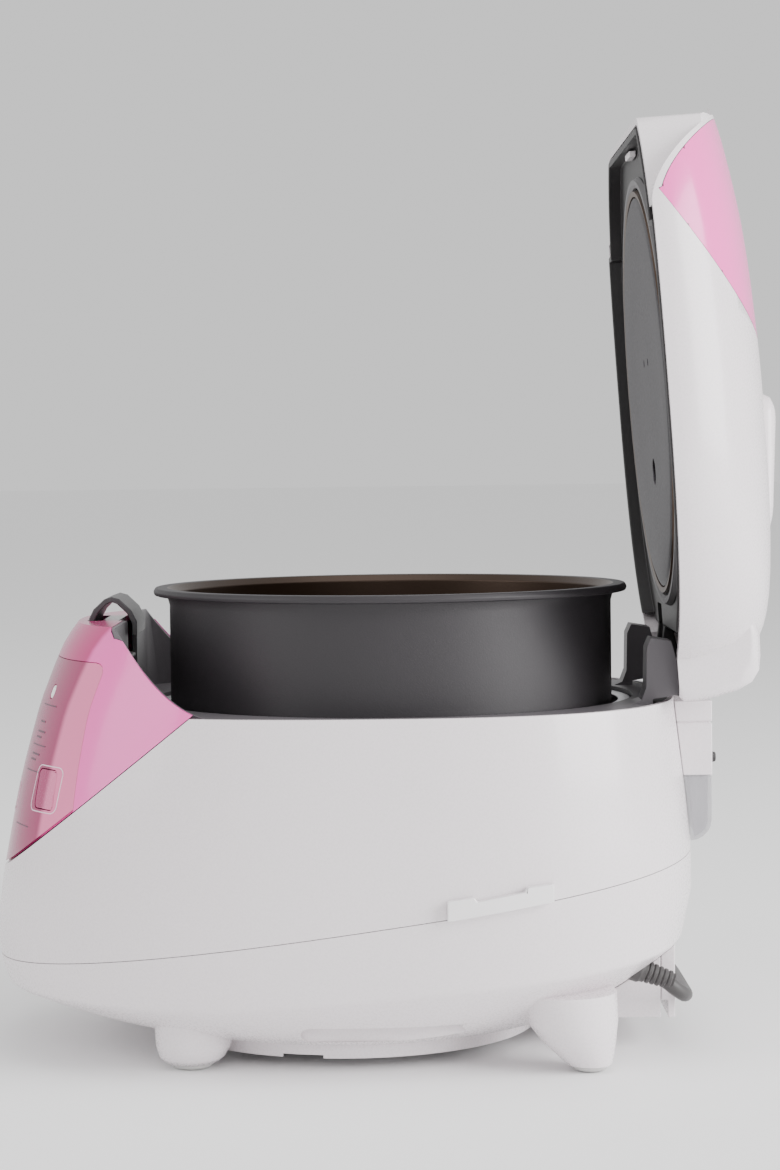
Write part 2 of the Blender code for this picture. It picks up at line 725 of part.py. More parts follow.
def make_rear():
    bracket = block((-34.0, 120.0, DEW_SEAM_Z), (34.0, 147.1, 157.6))
    cut(bracket, block((-31.0, 100.0, 110.0), (31.0, 144.3, 154.6)))
    cut(bracket, block((-24.0, 136.0, 140.0), (24.0, 144.3, 170.0)))
    cut(bracket, housing_form(-GAP, 100.0, 170.0))
    for edge in (block((-40.0, 146.3, 147.4), (40.0, 160.0, 148.2)), block((33.2, 100.0, 147.4), (40.0, 160.0, 148.2)),
                 block((-40.0, 100.0, 147.4), (-33.2, 160.0, 148.2))):
        cut(bracket, edge)
    cut(bracket, rod((0.0, 140.0, BUMPER_Z), (0.0, 160.0, BUMPER_Z), 1.5))
    node("dew_bracket", bracket, "white_plastic")

    bumper = rod((0.0, 147.4, BUMPER_Z), (0.0, 152.6, BUMPER_Z), 3.3, 16, 2.2)
    join(bumper, rod((0.0, 143.5, BUMPER_Z), (0.0, 149.0, BUMPER_Z), 1.2))
    node("rear_bumper", bumper, "black_rubber")

    def cup_outline(inset):
        bottom = arc(136.9, 103.0, 10.0 - inset, 180, 360, 10)
        top = DEW_SEAM_Z - 0.4 if inset == 0 else 135.0
        return [(126.9 + inset, top), *bottom, (146.9 - inset, top)]

    cup = prism(cup_outline(0.0), -33.0, 33.0, "x")
    cut(cup, housing_form(-GAP, 70.0, 170.0))
    hollow = prism(cup_outline(1.6), -31.4, 31.4, "x")
    cut(hollow, housing_form(-1.9, 70.0, 160.0))
    node("dew_collector", cut(cup, hollow), "clear_plastic", (0.0, 140.0, 108.0))

    skirt = block((-42.0, 100.0, 13.0), (42.0, 121.8, 58.0))
    cut(skirt, base_form(-0.5, 0.0))
    node("rear_skirt", skirt, "white_plastic")
    spacer = block((-42.0, 122.1, 21.0), (42.0, 126.0, 58.0))
    join(spacer, block((-42.0, 125.1, 13.0), (42.0, 128.4, 58.0)))
    cut(spacer, base_form(-0.5, 0.0))
    node("rear_spacer", spacer, "white_plastic")


# ---------------------------------------------------------------- lid, drawn closed and then turned open
def insert_z(y):
    """Height of the pink lid insert's straight lower edge."""
    return 164.5 + 0.672 * (y + 83.7)


def lid_top(y, x=0.0):
    return smooth_table(LID_CROWN, y)[0] - LID_CAMBER * (x / 125.5) ** 2


def dome(inset, low=150.0):
    """The lid's outer form: a steep wall that rounds over into a nearly flat crown."""
    rings = [[(*outline_point(a, 125.5 - inset, 163.3 - inset, LID_REAR - inset), low) for a in turns(OUTLINE_POINTS)]]
    for share in (1.0, 0.993, 0.975, 0.94, 0.88, 0.79, 0.62, 0.3):
        ring = []
        for a in turns(OUTLINE_POINTS):
            x, y = outline_point(a, 125.5 - inset, 163.3 - inset, LID_REAR - inset)
            s = math.sin(a)
            power = 5.0 if s < 0 else 5.0 + 8.0 * s * s
            rise = math.sqrt(max(1 - share**power, 0.0))
            top = lid_top(y * share, x * share) - inset
            ring.append((x * share, y * share, LID_RIM_Z + (top - LID_RIM_Z) * rise))
        rings.append(ring)
    return loft(rings)


def lid_edge(shrink, low):
    """Side-view outline of what the lid keeps in front of the deck and over the crown."""
    nose_y = -132.0 + shrink
    edge = [(y, z + shrink) for y, z in slide_points(0.8)]
    return [(FAR / 2, low), (FAR / 2, 240.0), (nose_y, 240.0), (nose_y, CROWN_Z + 1.3 + shrink), *edge[::-1], (-77.0, low)]


def lobe(shrink, low):
    """The bulge behind the lid that covers the hinge."""
    outer = [(112.0, 198.4), (122.0, 198.0), (128.0, 197.0), (133.0, 193.6), (136.4, 187.0), (138.8, 176.0),
             (139.6, 168.0), (139.6, 162.8), (137.4, 160.6)]
    profile = [(96.0, low), (96.0, 195.0 - shrink), *[(y - shrink, z - shrink) for y, z in outer],
               (137.4 - shrink, low)]
    half = 72.0 - shrink
    rings = []
    for x, pull in ((-half, 5.0), (-half + 1.5, 2.2), (-half + 5.0, 0.0), (half - 5.0, 0.0), (half - 1.5, 2.2), (half, 5.0)):
        squeezed = []
        for y, z in profile:
            squeezed.append((x, y - (pull if y > 110 else 0), z - (pull if z > 190 else 0)))
        rings.append(squeezed)
    return loft(rings)


def lid_solid(inset):
    """The lid's form, moved inwards. The outer one stops at the rim, an inner one runs out below it."""
    low = 150.0 if inset == 0 else 140.0
    nose = prism(cavity_outline(1.5 + inset), low - 6.0, 230.0, "z")
    within(nose, block((-FAR, -FAR, 100.0), (FAR, -60.0, 300.0)))
    whole = within(dome(inset, low), join(side_view(lid_edge(inset, low - 9.0)), nose))
    join(whole, lobe(min(inset, LOBE_WALL), low - 3.0))
    if inset == 0:
        within(whole, block((-FAR, -FAR, LID_RIM_Z), (FAR, FAR, 300.0)))
    return whole


def width_at(y, half_width, front):
    """Half width of a superellipse's front half at a depth."""
    return half_width * (1 - (abs(y) / front) ** FRONT_POWER) ** (1 / FRONT_POWER)


def frame_outline(inset):
    """Plan of the lid's underside: wide over the deck, narrower where it drops into the crown."""
    step_y = -76.0 + inset
    sizes = (125.5 - inset, 163.3 - inset, LID_REAR - inset)
    wide = [p for p in (outline_point(a, *sizes) for a in turns(OUTLINE_POINTS)) if p[1] > step_y + 3]
    nose = [p for p in cavity_outline(1.5 + inset) if p[1] < step_y - 3]
    for sign in (-1, 1):
        wide.append((sign * width_at(step_y, sizes[0], sizes[1]), step_y))
        nose.append((sign * width_at(step_y - 0.5, 117.5 - inset, 141.5 - inset), step_y - 0.5))
    wide.sort(key=lambda p: math.atan2(p[0], p[1]))
    nose.sort(key=lambda p: math.atan2(p[0], p[1]) % (2 * math.pi))
    return wide + nose


VENT_CENTRE_Y = 37.0


def vent_outline(grow):
    return rounded_rect(0.0, VENT_CENTRE_Y, 24.0 + grow, 32.0 + grow, 12.0 + grow, 4)


def make_lid():
    pieces = []
    shell = cut(lid_solid(0.0), lid_solid(LID_WALL))
    arch_notch = block((-ARCH_HALF - 2.5, -140.0, 186.0), (ARCH_HALF + 2.5, -115.0, 240.0))
    cut(shell, arch_notch)

    def insert(depth, trim):
        skin = cut(dome(-2.0), dome(depth))
        region = [(y, z + 3.6 - trim) for y, z in slide_points(0.8)]
        y_high = -12.0
        start = (-84.5 - trim, insert_z(-84.5) - trim)
        outline = [start, (y_high, insert_z(y_high) - trim), (y_high, 240.0), (-129.0 - trim, 240.0),
                   (-129.0 - trim, CROWN_Z + 4.6 - trim), *[p for p in region[::-1] if p[0] < -85.0]]
        kept = within(skin, side_view(outline))
        return cut(kept, block((-ARCH_HALF - 5 + trim, -145.0, 150.0), (ARCH_HALF + 5 - trim, -112.5 - trim, 240.0)))

    cut(shell, insert(1.9, 0.35))
    cover = within(insert(1.2, 0.0), dome(0.0))
    vent_hole = prism(rounded_rect(0.0, VENT_CENTRE_Y, 9.0, 9.0, 8.9, 6), 190.0, 240.0, "z")
    cut(shell, vent_hole)
    pieces.append(("lid_shell", shell, "white_plastic"))
    pieces.append(("lid_insert", cover, "pink_panel"))

    frame = prism(frame_outline(4.8), 166.0, 168.5, "z")
    within(frame, block((-FAR, -FAR, 100.0), (FAR, 112.0, 200.0)))
    lip = cut(prism(frame_outline(4.3), 159.8, 166.8, "z"), prism(frame_outline(6.8), 150.0, 170.0, "z"))
    within(lip, block((-FAR, -FAR, 100.0), (FAR, 108.0, 200.0)))
    join(frame, lip)
    cut(frame, turned([(94.8, 150.0), (94.8, 175.0)], steps=OUTLINE_POINTS))
    for low, high in PILLARS:
        cut(frame, block((low - 0.4, 102.0, 150.0), (high + 0.4, 130.0, 175.0)))
    for low, high in HINGE_ARMS:
        arm = prism([(100.0, 166.4), (112.0, 166.2), (128.0, 163.2), (133.0, 163.0), (134.0, 169.0), (124.0, 171.5),
                     (100.0, 168.3)],
                    low, high, "x")
        join(frame, arm, hub(low, high, HUB_R))
    cut(frame, hub(-80.0, 80.0, PIN_R + 0.35))
    pieces.append(("lid_frame", frame, "dark_plastic"))

    heater = turned([(94.2, 166.4), (94.2, 167.6)], steps=OUTLINE_POINTS)
    cut(heater, turned([(9.5, 160.0), (9.5, 170.0)], (0.0, VENT_CENTRE_Y), 24))
    pieces.append(("lid_heater_plate", heater, "aluminium"))
    seal = turned_ring([(95.4, 165.6), (95.4, 164.2), (97.0, 163.2), (99.0, 163.2), (100.2, 165.6)],
                       steps=OUTLINE_POINTS)
    pieces.append(("lid_seal", seal, "seal_rubber"))
    gasket = turned_ring([(91.4, 165.9), (91.4, 163.2), (93.8, 162.8), (94.4, 165.9)], steps=OUTLINE_POINTS)
    pieces.append(("plate_gasket", gasket, "seal_rubber"))
    catch = block((-10.0, -112.2, 162.3), (10.0, -109.4, 165.6))
    pieces.append(("lid_catch", catch, "white_plastic"))
    tube = turned_ring([(7.2, 168.2), (8.6, 168.2), (8.6, 210.8), (7.2, 210.8)], (0.0, VENT_CENTRE_Y), 24)
    pieces.append(("steam_tube", tube, "seal_rubber"))
    return pieces


def make_inner_plate():
    plate = turned([(91.0, 164.8), (91.0, 163.6), (88.0, 162.6), (60.0, 163.4), (30.0, 163.6)], steps=OUTLINE_POINTS)
    cut(plate, turned([(6.0, 150.0), (6.0, 175.0)], (0.0, VENT_CENTRE_Y), 24))
    for x in (-1, 1):
        cut(plate, turned([(1.6, 150.0), (1.6, 175.0)], (x * 9.0, -14.0), 12))
    return [("inner_lid_plate", plate, "aluminium")]


def make_vent_cap():
    rings = []
    for grow, share in ((0.0, 0.0), (0.0, 0.5), (-1.6, 0.84), (-5.0, 1.0), (-10.0, 1.03)):
        ring = []
        for x, y in vent_outline(grow):
            height = 8.0 - 4.0 * max(y - 16.0, 0.0) / 52.0
            ring.append((x, y, lid_top(y) - 0.6 + (height + 0.6) * share))
        rings.append(ring)
    cap = cut(loft(rings), dome(-GAP))
    for k in (-1, 0, 1):
        slot = prism(rounded_rect(k * 9.0, VENT_CENTRE_Y - 4.0, 1.4, 10.0, 1.3), 214.8, 240.0, "z")
        cut(cap, slot)
    return [("vent_cap", cap, "white_plastic")]


# ---------------------------------------------------------------- pot
def make_pot():
    top, bottom = POT_RIM_TOP + POT_LIFT, POT_RIM_TOP + POT_LIFT - POT_DEPTH
    outer_corner = arc(POT_WALL_R - 22.0, bottom + 22.0, 22.0, -90, 0, 4)
    inner_corner = arc(POT_WALL_R - 22.0, bottom + 22.0, 20.0, 0, -90, 4)
    outside = [*outer_corner, (POT_WALL_R, top - 8.0), (POT_WALL_R + 1.2, top - 3.5),
               (POT_RIM_R - 0.6, top - 3.5), (POT_RIM_R, top - 1.8)]
    inside = [(POT_RIM_R - 1.0, top), (POT_WALL_R + 1.0, top), (POT_WALL_R - 2.0, top - 3.0), *inner_corner]
    pot = turned(outside + inside, steps=OUTLINE_POINTS)
    node("inner_pot", pot, "pot_coating", (0.0, 0.0, top))


# ---------------------------------------------------------------- mains cord
CORD_ROUTE = (
    (58.0, 116.6, 36.3), (58.0, 121.4, 33.8), (57.2, 126.2, 29.8), (54.0, 130.4, 26.4), (48.0, 132.4, 24.8),
    (38.0, 132.8, 24.2), (26.0, 132.8, 24.0), (8.0, 132.8, 23.8), (-12.0, 132.8, 23.4), (-32.0, 132.8, 22.4),
    (-50.0, 132.6, 20.4), (-66.0, 132.0, 17.0), (-82.0, 130.0, 12.2), (-98.0, 125.6, 7.4), (-113.0, 118.0, 4.6),
    (-127.0, 107.0, 3.7), (-139.0, 93.0, 3.6), (-149.0, 77.0, 3.6), (-156.6, 61.0, 3.6), (-160.8, 49.0, 3.6),
    (-162.5, 40.4, 3.6),
)
COIL_CENTRE = (-200.0, 10.0)
COIL_MEAN_R = 38.0
TAIL_ROUTE = (
    (-238.2, -19.2, 3.6), (-238.4, -28.0, 3.6), (-237.0, -38.0, 4.4), (-232.8, -47.2, 6.4), (-226.2, -55.0, 9.2),
    (-218.0, -61.2, 12.0), (-209.4, -65.6, 13.0),
)
PLUG_TURN = math.radians(-24.0)
PLUG_LENGTH = 36.0


def smooth_path(points, step):
    """Even steps along a smooth curve through the points."""
    points = [Vector(p) for p in points]
    ends = [2 * points[0] - points[1], *points, 2 * points[-1] - points[-2]]
    fine = []
    for p0, p1, p2, p3 in zip(ends, ends[1:], ends[2:], ends[3:]):
        for k in range(8):
            t = k / 8
            fine.append(
                0.5 * (2 * p1 + (p2 - p0) * t + (2 * p0 - 5 * p1 + 4 * p2 - p3) * t**2 + (3 * p1 - p0 - 3 * p2 + p3) * t**3)
            )
    fine.append(points[-1])
    path, since = [fine[0]], 0.0
    for a, b in zip(fine, fine[1:]):
        since += (b - a).length
        if since >= step:
            path.append(b)
            since = 0.0
    if (path[-1] - fine[-1]).length > step / 3:
        path.append(fine[-1])
    else:
        path[-1] = fine[-1]
    return path


def tube(name, route, radius):
    curve = bpy.data.curves.new(name, "CURVE")
    curve.dimensions = "3D"
    curve.bevel_depth = radius * MM
    curve.bevel_resolution = 2
    curve.use_fill_caps = True
    path = smooth_path(route, 1.8 * 2 * radius)
    line = curve.splines.new("POLY")
    line.points.add(len(path) - 1)
    for point, at in zip(line.points, path):
        point.co = (*(at * MM), 1.0)
    obj = bpy.data.objects.new(name, curve)
    bpy.context.scene.collection.objects.link(obj)
    curve.materials.append(finish_material("cord_rubber"))
    return obj


def make_cord():
    gland = rod(GLAND_AT - CORD_OUT * 12.0, GLAND_AT + CORD_OUT * 1.0, 6.0, 16)
    join(gland, rod(GLAND_AT, GLAND_AT + CORD_OUT * 6.0, 4.8, 16, 4.2))
    node("cord_gland", gland, "cord_rubber")
    tube("cord_lead", CORD_ROUTE, CORD_R)
    tube("cord_tail", TAIL_ROUTE, CORD_R)
    across = 2 * CORD_R + 0.2
    inner, outer, low = COIL_MEAN_R - across, COIL_MEAN_R + across, 0.2
    coil = turned_ring(
        [(inner, low + 4.0), (inner + 4.0, low), (outer - 4.0, low), (outer, low + 4.0), (outer, 11.0),
         (outer - 4.0, 14.6), (inner + 4.0, 14.6), (inner, 11.0)],
        COIL_CENTRE, 32,
    )
    node("cord_coil", coil, "cord_rubber")

    run = Vector((math.cos(PLUG_TURN), math.sin(PLUG_TURN), 0.0))
    side = Vector((-run.y, run.x, 0.0))
    start = Vector(TAIL_ROUTE[-1]) + run * 0.6
    body = rod(start, start + run * 14.0, 4.6, 20, 9.5)
    join(body, rod(start + run * 13.0, start + run * PLUG_LENGTH, 12.6, 20))
    for k, sign in enumerate((-1, 1)):
        root = start + run * PLUG_LENGTH + side * (9.5 * sign)
        cut(body, rod(root - run * 12.0, root + run * 5.0, 2.8))
        node(f"plug_pin_{k + 1}", rod(root - run * 11.0, root + run * 18.0, 2.4), "brass")
    node("plug_body", body, "cord_rubber")


# ---------------------------------------------------------------- assembly
def assemble_lid():
    """Turns the lid and what rides on it open about the hinge."""
    hinge = empty("lid_hinge", (0.0, HINGE_Y, HINGE_Z))
    pivot = Matrix.Translation((0, HINGE_Y, HINGE_Z))
    opened = pivot @ Matrix.Rotation(-LID_OPEN, 4, "X") @ pivot.inverted()
    for name, obj, finish in make_lid() + make_inner_plate() + make_vent_cap():
        obj.data.transform(opened)
        node(name, obj, finish, (0.0, HINGE_Y, HINGE_Z), hinge)


def main():
    for obj in list(bpy.data.objects):
        bpy.data.objects.remove(obj)
    make_base()
    make_body_shell()
    make_side_grips()
    make_front_panel()
    make_release()
    make_deck()
    make_heating()
    make_rear()
    make_pot()
    assemble_lid()
    make_cord()


main()
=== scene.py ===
"""Visual model of the rice cooker: smooth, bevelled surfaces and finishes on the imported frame.

The shapes repeat the CAD's construction at a finer resolution, in millimetres, and are written in metres.
"""

import math
from math import copysign, cos, pi, radians, sin

import bmesh
import bpy
from mathutils import Matrix, Vector
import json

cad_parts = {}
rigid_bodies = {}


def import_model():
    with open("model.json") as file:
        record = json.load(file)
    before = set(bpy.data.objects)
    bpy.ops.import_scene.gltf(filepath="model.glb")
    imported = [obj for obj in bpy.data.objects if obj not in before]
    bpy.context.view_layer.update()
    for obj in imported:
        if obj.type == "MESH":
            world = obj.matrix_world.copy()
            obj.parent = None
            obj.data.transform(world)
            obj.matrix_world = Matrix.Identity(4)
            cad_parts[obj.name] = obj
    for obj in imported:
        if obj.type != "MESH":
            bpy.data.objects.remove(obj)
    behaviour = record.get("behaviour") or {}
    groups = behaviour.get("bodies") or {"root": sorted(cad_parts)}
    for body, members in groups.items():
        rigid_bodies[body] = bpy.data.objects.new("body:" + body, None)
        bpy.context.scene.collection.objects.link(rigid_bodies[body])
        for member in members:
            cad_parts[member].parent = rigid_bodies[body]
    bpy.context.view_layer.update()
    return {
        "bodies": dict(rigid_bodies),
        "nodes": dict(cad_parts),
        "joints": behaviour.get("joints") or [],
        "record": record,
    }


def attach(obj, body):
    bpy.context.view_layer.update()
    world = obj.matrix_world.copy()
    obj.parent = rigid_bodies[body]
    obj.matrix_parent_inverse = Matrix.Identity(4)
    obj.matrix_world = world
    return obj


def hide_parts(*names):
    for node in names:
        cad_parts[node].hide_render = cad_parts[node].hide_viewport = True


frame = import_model()


def placed(name, data):
    """A new object in the scene."""
    obj = bpy.data.objects.new(name, data)
    bpy.context.scene.collection.objects.link(obj)
    return obj


# ---- camera at the photograph's viewing angle
CAMERA_AT = (1.283, 0, 0.271)
pitch, roll = radians(2.68), radians(0.7)
ahead = Vector((-cos(pitch), 0, -sin(pitch)))
across = Vector((0, 1, 0))
upward = across.cross(ahead)
cam_x = cos(roll) * across - sin(roll) * upward
cam_y = sin(roll) * across + cos(roll) * upward
lens = bpy.data.cameras.new("camera")
lens.sensor_fit = "VERTICAL"
lens.sensor_height = 36
lens.lens = 84.0
lens.clip_start = 0.05
camera = placed("camera", lens)
turned_by = Matrix((cam_x, cam_y, -ahead)).transposed().to_4x4()
camera.matrix_world = Matrix.Translation(CAMERA_AT) @ turned_by
bpy.context.scene.camera = camera

MM = 0.001
GAP = 0.3            # running gap between neighbouring pieces
SIDES = ((-1, "left"), (1, "right"))
FAR = 400.0          # half size of a cutting block, larger than the cooker

# ---- driving sizes
OUTLINE_POINTS = 120  # corners round the plan outline
TURN_STEPS = 112      # corners round a turned piece
FRONT_POWER = 2.45   # superellipse powers of the plan outline, front and rear halves
REAR_POWER = 2.55
WALL = 2.5           # moulded wall of the housing

DECK_Z = 159.5       # top edge of the white housing
CROWN_Z = 197.0      # top of the pink control panel
CROWN_INNER_Y = -121.5
LID_RIM_Z = 160.5    # lower edge of the closed lid
LID_WALL = 3.0
LOBE_WALL = 1.5
LID_REAR = 134.0

POT_RIM_R = 111.0
POT_WALL_R = 103.5
POT_RIM_TOP = 161.5  # when the pot sits in the cooker
POT_DEPTH = 118.0
POT_LIFT = 50.0      # how far the pot is drawn up at rest

HINGE_Y = 134.0
HINGE_Z = 166.1
LID_OPEN = radians(86.0)
PIN_R = 1.6
HUB_R = 3.7

BASE_CIRCLE_Y = -20.0
BASE_CIRCLE_R = 88.0
BASE_CENTRE = (0.0, BASE_CIRCLE_Y)
BASE_CIRCLE_Z = 12.0  # where the housing's skin ends at the round foot
BASE_FOOT_Z = 5.4

# height, half width, reach to the front and reach to the rear of the housing's skin
STATIONS = (
    (10, 110, 168, 108), (20, 117, 175, 118), (30, 121.5, 180, 124),
    (40, 124.6, 183, 130), (50, 126.6, 184.4, 134.5), (60, 127.8, 184.6, 137),
    (75, 128.5, 183, 139), (90, 128.6, 180.2, 138.6), (105, 128.5, 177.3, 137.3),
    (120, 128, 174.2, 135.8), (135, 127.3, 170.5, 134), (150, 126.3, 166.3, 132.2),
    (160, 125.5, 163.3, 131), (170, 123.8, 159.4, 129), (180, 121.3, 155.4, 126),
    (190, 118, 150.5, 122), (200, 112.5, 143, 116),
)

# crown of the lid along its middle: depth and height when closed
LID_CROWN = (
    (-170, 199), (-130, 206.2), (-100, 207.3), (-63, 209.6), (-30, 210.9),
    (0, 211.7), (32, 211.4), (69, 210.2), (100, 208.8), (140, 206.5),
)
LID_CAMBER = 10.0    # fall of the lid's crown from its middle to its sides

# steps from the lid's middle to its rim
DOME_SHARES = (
    1.0, 0.9985, 0.996, 0.992, 0.987, 0.98, 0.971, 0.96, 0.946, 0.93, 0.91, 0.885, 0.855, 0.82,
    0.78, 0.73, 0.67, 0.6, 0.52, 0.43, 0.33, 0.22, 0.11,
)


# ---- finishes
def shader_of(material):
    return material.node_tree.nodes["Principled BSDF"]


def added(material, kind, **values):
    """A new shader node with its inputs set. An underscore stands for the space in an input's name."""
    made = material.node_tree.nodes.new("ShaderNode" + kind)
    for name, value in values.items():
        made.inputs[name.replace("_", " ")].default_value = value
    return made


def colour_by(material, factor, low, high):
    """Colours the surface between low and high, which may be a socket, by a factor."""
    links = material.node_tree.links
    mix = added(material, "Mix")
    mix.data_type = "RGBA"
    mix.inputs["A"].default_value = (*low, 1)
    if isinstance(high, bpy.types.NodeSocket):
        links.new(high, mix.inputs["B"])
    else:
        mix.inputs["B"].default_value = (*high, 1)
    links.new(factor, mix.inputs["Factor"])
    links.new(mix.outputs["Result"], shader_of(material).inputs["Base Color"])


def tinted(colour, tint):
    return [c * (1 - tint) for c in colour], [min(c * (1 + tint), 1.0) for c in colour]


def finish_of(name, colour, rough, metal=0.0, tint=0.03, grain=900.0, bump=0.02, coat=0.0,
              mottle=14.0, sheen=0.0):
    """A material that varies a little in colour and gloss, with a fine moulded or sprayed grain."""
    material = bpy.data.materials.new(name)
    material.use_nodes = True
    links = material.node_tree.links
    shader = shader_of(material)
    constants = {"Metallic": metal, "Coat Weight": coat, "Coat Roughness": 0.08, "Sheen Weight": sheen}
    for name, value in constants.items():
        shader.inputs[name].default_value = value
    place = added(material, "TexCoord").outputs["Object"]
    broad = added(material, "TexNoise", Scale=mottle, Detail=5.0)
    links.new(place, broad.inputs["Vector"])
    colour_by(material, broad.outputs["Fac"], *tinted(colour, tint))
    fine = added(material, "TexNoise", Scale=grain, Detail=3.0)
    links.new(place, fine.inputs["Vector"])
    spread = added(material, "MapRange", To_Min=rough * 0.85, To_Max=min(rough * 1.2, 1.0))
    links.new(fine.outputs["Fac"], spread.inputs["Value"])
    links.new(spread.outputs["Result"], shader.inputs["Roughness"])
    relief = added(material, "Bump", Strength=bump * 10, Distance=0.0001)
    links.new(fine.outputs["Fac"], relief.inputs["Height"])
    links.new(relief.outputs["Normal"], shader.inputs["Normal"])
    return material


def two_tone(material, deep):
    """A deeper colour across the middle of the panel, where the display and keys are."""
    links = material.node_tree.links
    split = added(material, "SeparateXYZ")
    links.new(added(material, "TexCoord").outputs["Object"], split.inputs["Vector"])
    aside = added(material, "Math")
    aside.operation = "ABSOLUTE"
    links.new(split.outputs["X"], aside.inputs[0])
    edge = added(material, "MapRange", From_Min=0.0700, From_Max=0.0742)
    edge.interpolation_type = "SMOOTHSTEP"
    links.new(aside.outputs["Value"], edge.inputs["Value"])
    pale = shader_of(material).inputs["Base Color"].links[0].from_socket
    colour_by(material, edge.outputs["Result"], deep, pale)
    return material


def brushed(name, colour, rough, centre, tint=0.12):
    """Spun metal: fine rings round an axis along the open lid's depth or the pot's height."""
    material = finish_of(name, colour, rough, 0.9, 0.04, 700.0, 0.01)
    links = material.node_tree.links
    shift = added(material, "Mapping", Location=centre)
    rings = added(material, "TexWave", Scale=260.0, Distortion=1.5)
    rings.wave_type = "RINGS"
    rings.rings_direction = "Z" if centre[2] == 0 else "Y"
    links.new(added(material, "TexCoord").outputs["Object"], shift.inputs["Vector"])
    links.new(shift.outputs["Vector"], rings.inputs["Vector"])
    colour_by(material, rings.outputs["Fac"], *tinted(colour, tint))
    return material


LOOKS = {
    "white_plastic": finish_of("white_gloss", (0.80, 0.745, 0.768), 0.27, coat=0.25, tint=0.012, bump=0.012),
    "base_plastic": finish_of("base_white", (0.70, 0.67, 0.68), 0.42, tint=0.02),
    "grip_plastic": finish_of("grip_white", (0.86, 0.835, 0.845), 0.25, coat=0.3, tint=0.01, bump=0.012),
    "pink_panel": finish_of("panel_pink", (0.95, 0.13, 0.49), 0.2, coat=0.25, bump=0.006, mottle=5.0),
    "crown_pink": two_tone(finish_of("crown_pink", (0.95, 0.13, 0.49), 0.2, coat=0.25, tint=0.03, bump=0.006),
                           (0.50, 0.022, 0.17)),
    "panel_edge": finish_of("panel_edge_maroon", (0.20, 0.03, 0.09), 0.2, coat=0.6, bump=0.006),
    "control_film": two_tone(finish_of("film_pink", (0.82, 0.19, 0.38), 0.22, coat=0.25, tint=0.04, bump=0.006),
                             (0.33, 0.022, 0.11)),
    "key_plastic": two_tone(finish_of("key_pink", (0.74, 0.18, 0.35), 0.26, coat=0.2, tint=0.03, bump=0.01),
                            (0.37, 0.030, 0.13)),
    "ink": finish_of("printed_line", (0.10, 0.03, 0.06), 0.35, tint=0.05),
    "pale_ink": finish_of("printed_pale", (0.85, 0.62, 0.72), 0.35, tint=0.05),
    # the lid frame's dark grey plastic darkened to near black: painted shade of the lid's inner rim
    "frame_painted_shade": finish_of("frame_painted_shade", (0.020, 0.018, 0.019), 0.45, tint=0.08, grain=1500.0, bump=0.05),
    # the release arch's dark grey plastic made darker: painted shade of its underside
    "arch_painted_shade": finish_of("arch_painted_shade", (0.045, 0.042, 0.045), 0.38, tint=0.08, grain=1500.0, bump=0.04),
    "dark_plastic": finish_of("dark_grained", (0.115, 0.105, 0.115), 0.42, tint=0.08, grain=1500.0, bump=0.05),
    "black_plastic": finish_of("black_moulded", (0.018, 0.017, 0.018), 0.4, tint=0.1, bump=0.03),
    "clear_plastic": finish_of("clear_grey", (0.42, 0.41, 0.44), 0.12, tint=0.02, bump=0.006),
    "display_lens": finish_of("display_dark", (0.05, 0.05, 0.055), 0.1, coat=0.6, bump=0.003),
    "lamp_lens": finish_of("lamp_milky", (0.93, 0.92, 0.90), 0.3, bump=0.006),
    "pot_coating": finish_of("pot_outside", (0.024, 0.021, 0.024), 0.5, 0.1, tint=0.06, grain=1300, bump=0.04),
    "pot_bronze": finish_of("pot_inside", (0.045, 0.026, 0.016), 0.36, 0.6, tint=0.10, grain=1100.0, bump=0.04),
    "lid_plate_metal": brushed("lid_plate_grey", (0.048, 0.044, 0.050), 0.46, (0.0, 0.0, -0.3)),
    "groove_brown": finish_of("groove_brown", (0.085, 0.055, 0.038), 0.4, 0.6, tint=0.1),
    "aluminium": brushed("spun_aluminium", (0.60, 0.60, 0.62), 0.34, (0.0, 0.0, 0.0), 0.06),
    "steel": finish_of("bright_steel", (0.55, 0.55, 0.56), 0.28, 1.0, tint=0.05),
    "brass": finish_of("bare_brass", (0.72, 0.57, 0.30), 0.26, 1.0, tint=0.06),
    "seal_rubber": finish_of("seal_grey", (0.13, 0.125, 0.13), 0.6, tint=0.06, bump=0.03, sheen=0.1),
    "black_rubber": finish_of("rubber_black", (0.035, 0.033, 0.034), 0.65, tint=0.1, bump=0.04, sheen=0.1),
    "pad_rubber": finish_of("rubber_pale", (0.60, 0.59, 0.58), 0.7, tint=0.04, bump=0.04),
    "cord_rubber": finish_of("cord_dark", (0.045, 0.042, 0.042), 0.5, tint=0.08, grain=1200.0, bump=0.04,
                             sheen=0.1),
    "circuit_board": finish_of("board_green", (0.045, 0.20, 0.09), 0.45, tint=0.15, mottle=60.0, bump=0.03),
}
clear = shader_of(LOOKS["clear_plastic"])
clear.inputs["Alpha"].default_value = 0.42
clear.inputs["IOR"].default_value = 1.49

# every CAD node that stays gets the procedural finish of its slot
SLOT_OF = {s["node"]: s["material_slot"] for s in frame["record"]["subparts"]}
for name, cad in frame["nodes"].items():
    cad.data.materials.clear()
    cad.data.materials.append(LOOKS[SLOT_OF[name]])

BODY_OF = {n: body for body, names in frame["record"]["behaviour"]["bodies"].items() for n in names}

# large skins cut along slanted lines, whose bevels are kept within their shortest edges
LARGE = ("base_shell", "body_shell", "front_panel", "control_film", "lid_shell", "lid_insert", "top_deck")
# pieces whose look differs from their slot's; the lid frame and the release arch get darker copies of the
# grained dark plastic, as painted shade
RELOOK = {"lid_frame": "frame_painted_shade", "release_arch": "arch_painted_shade", "front_panel": "crown_pink",
          "plate_gasket": "groove_brown"}


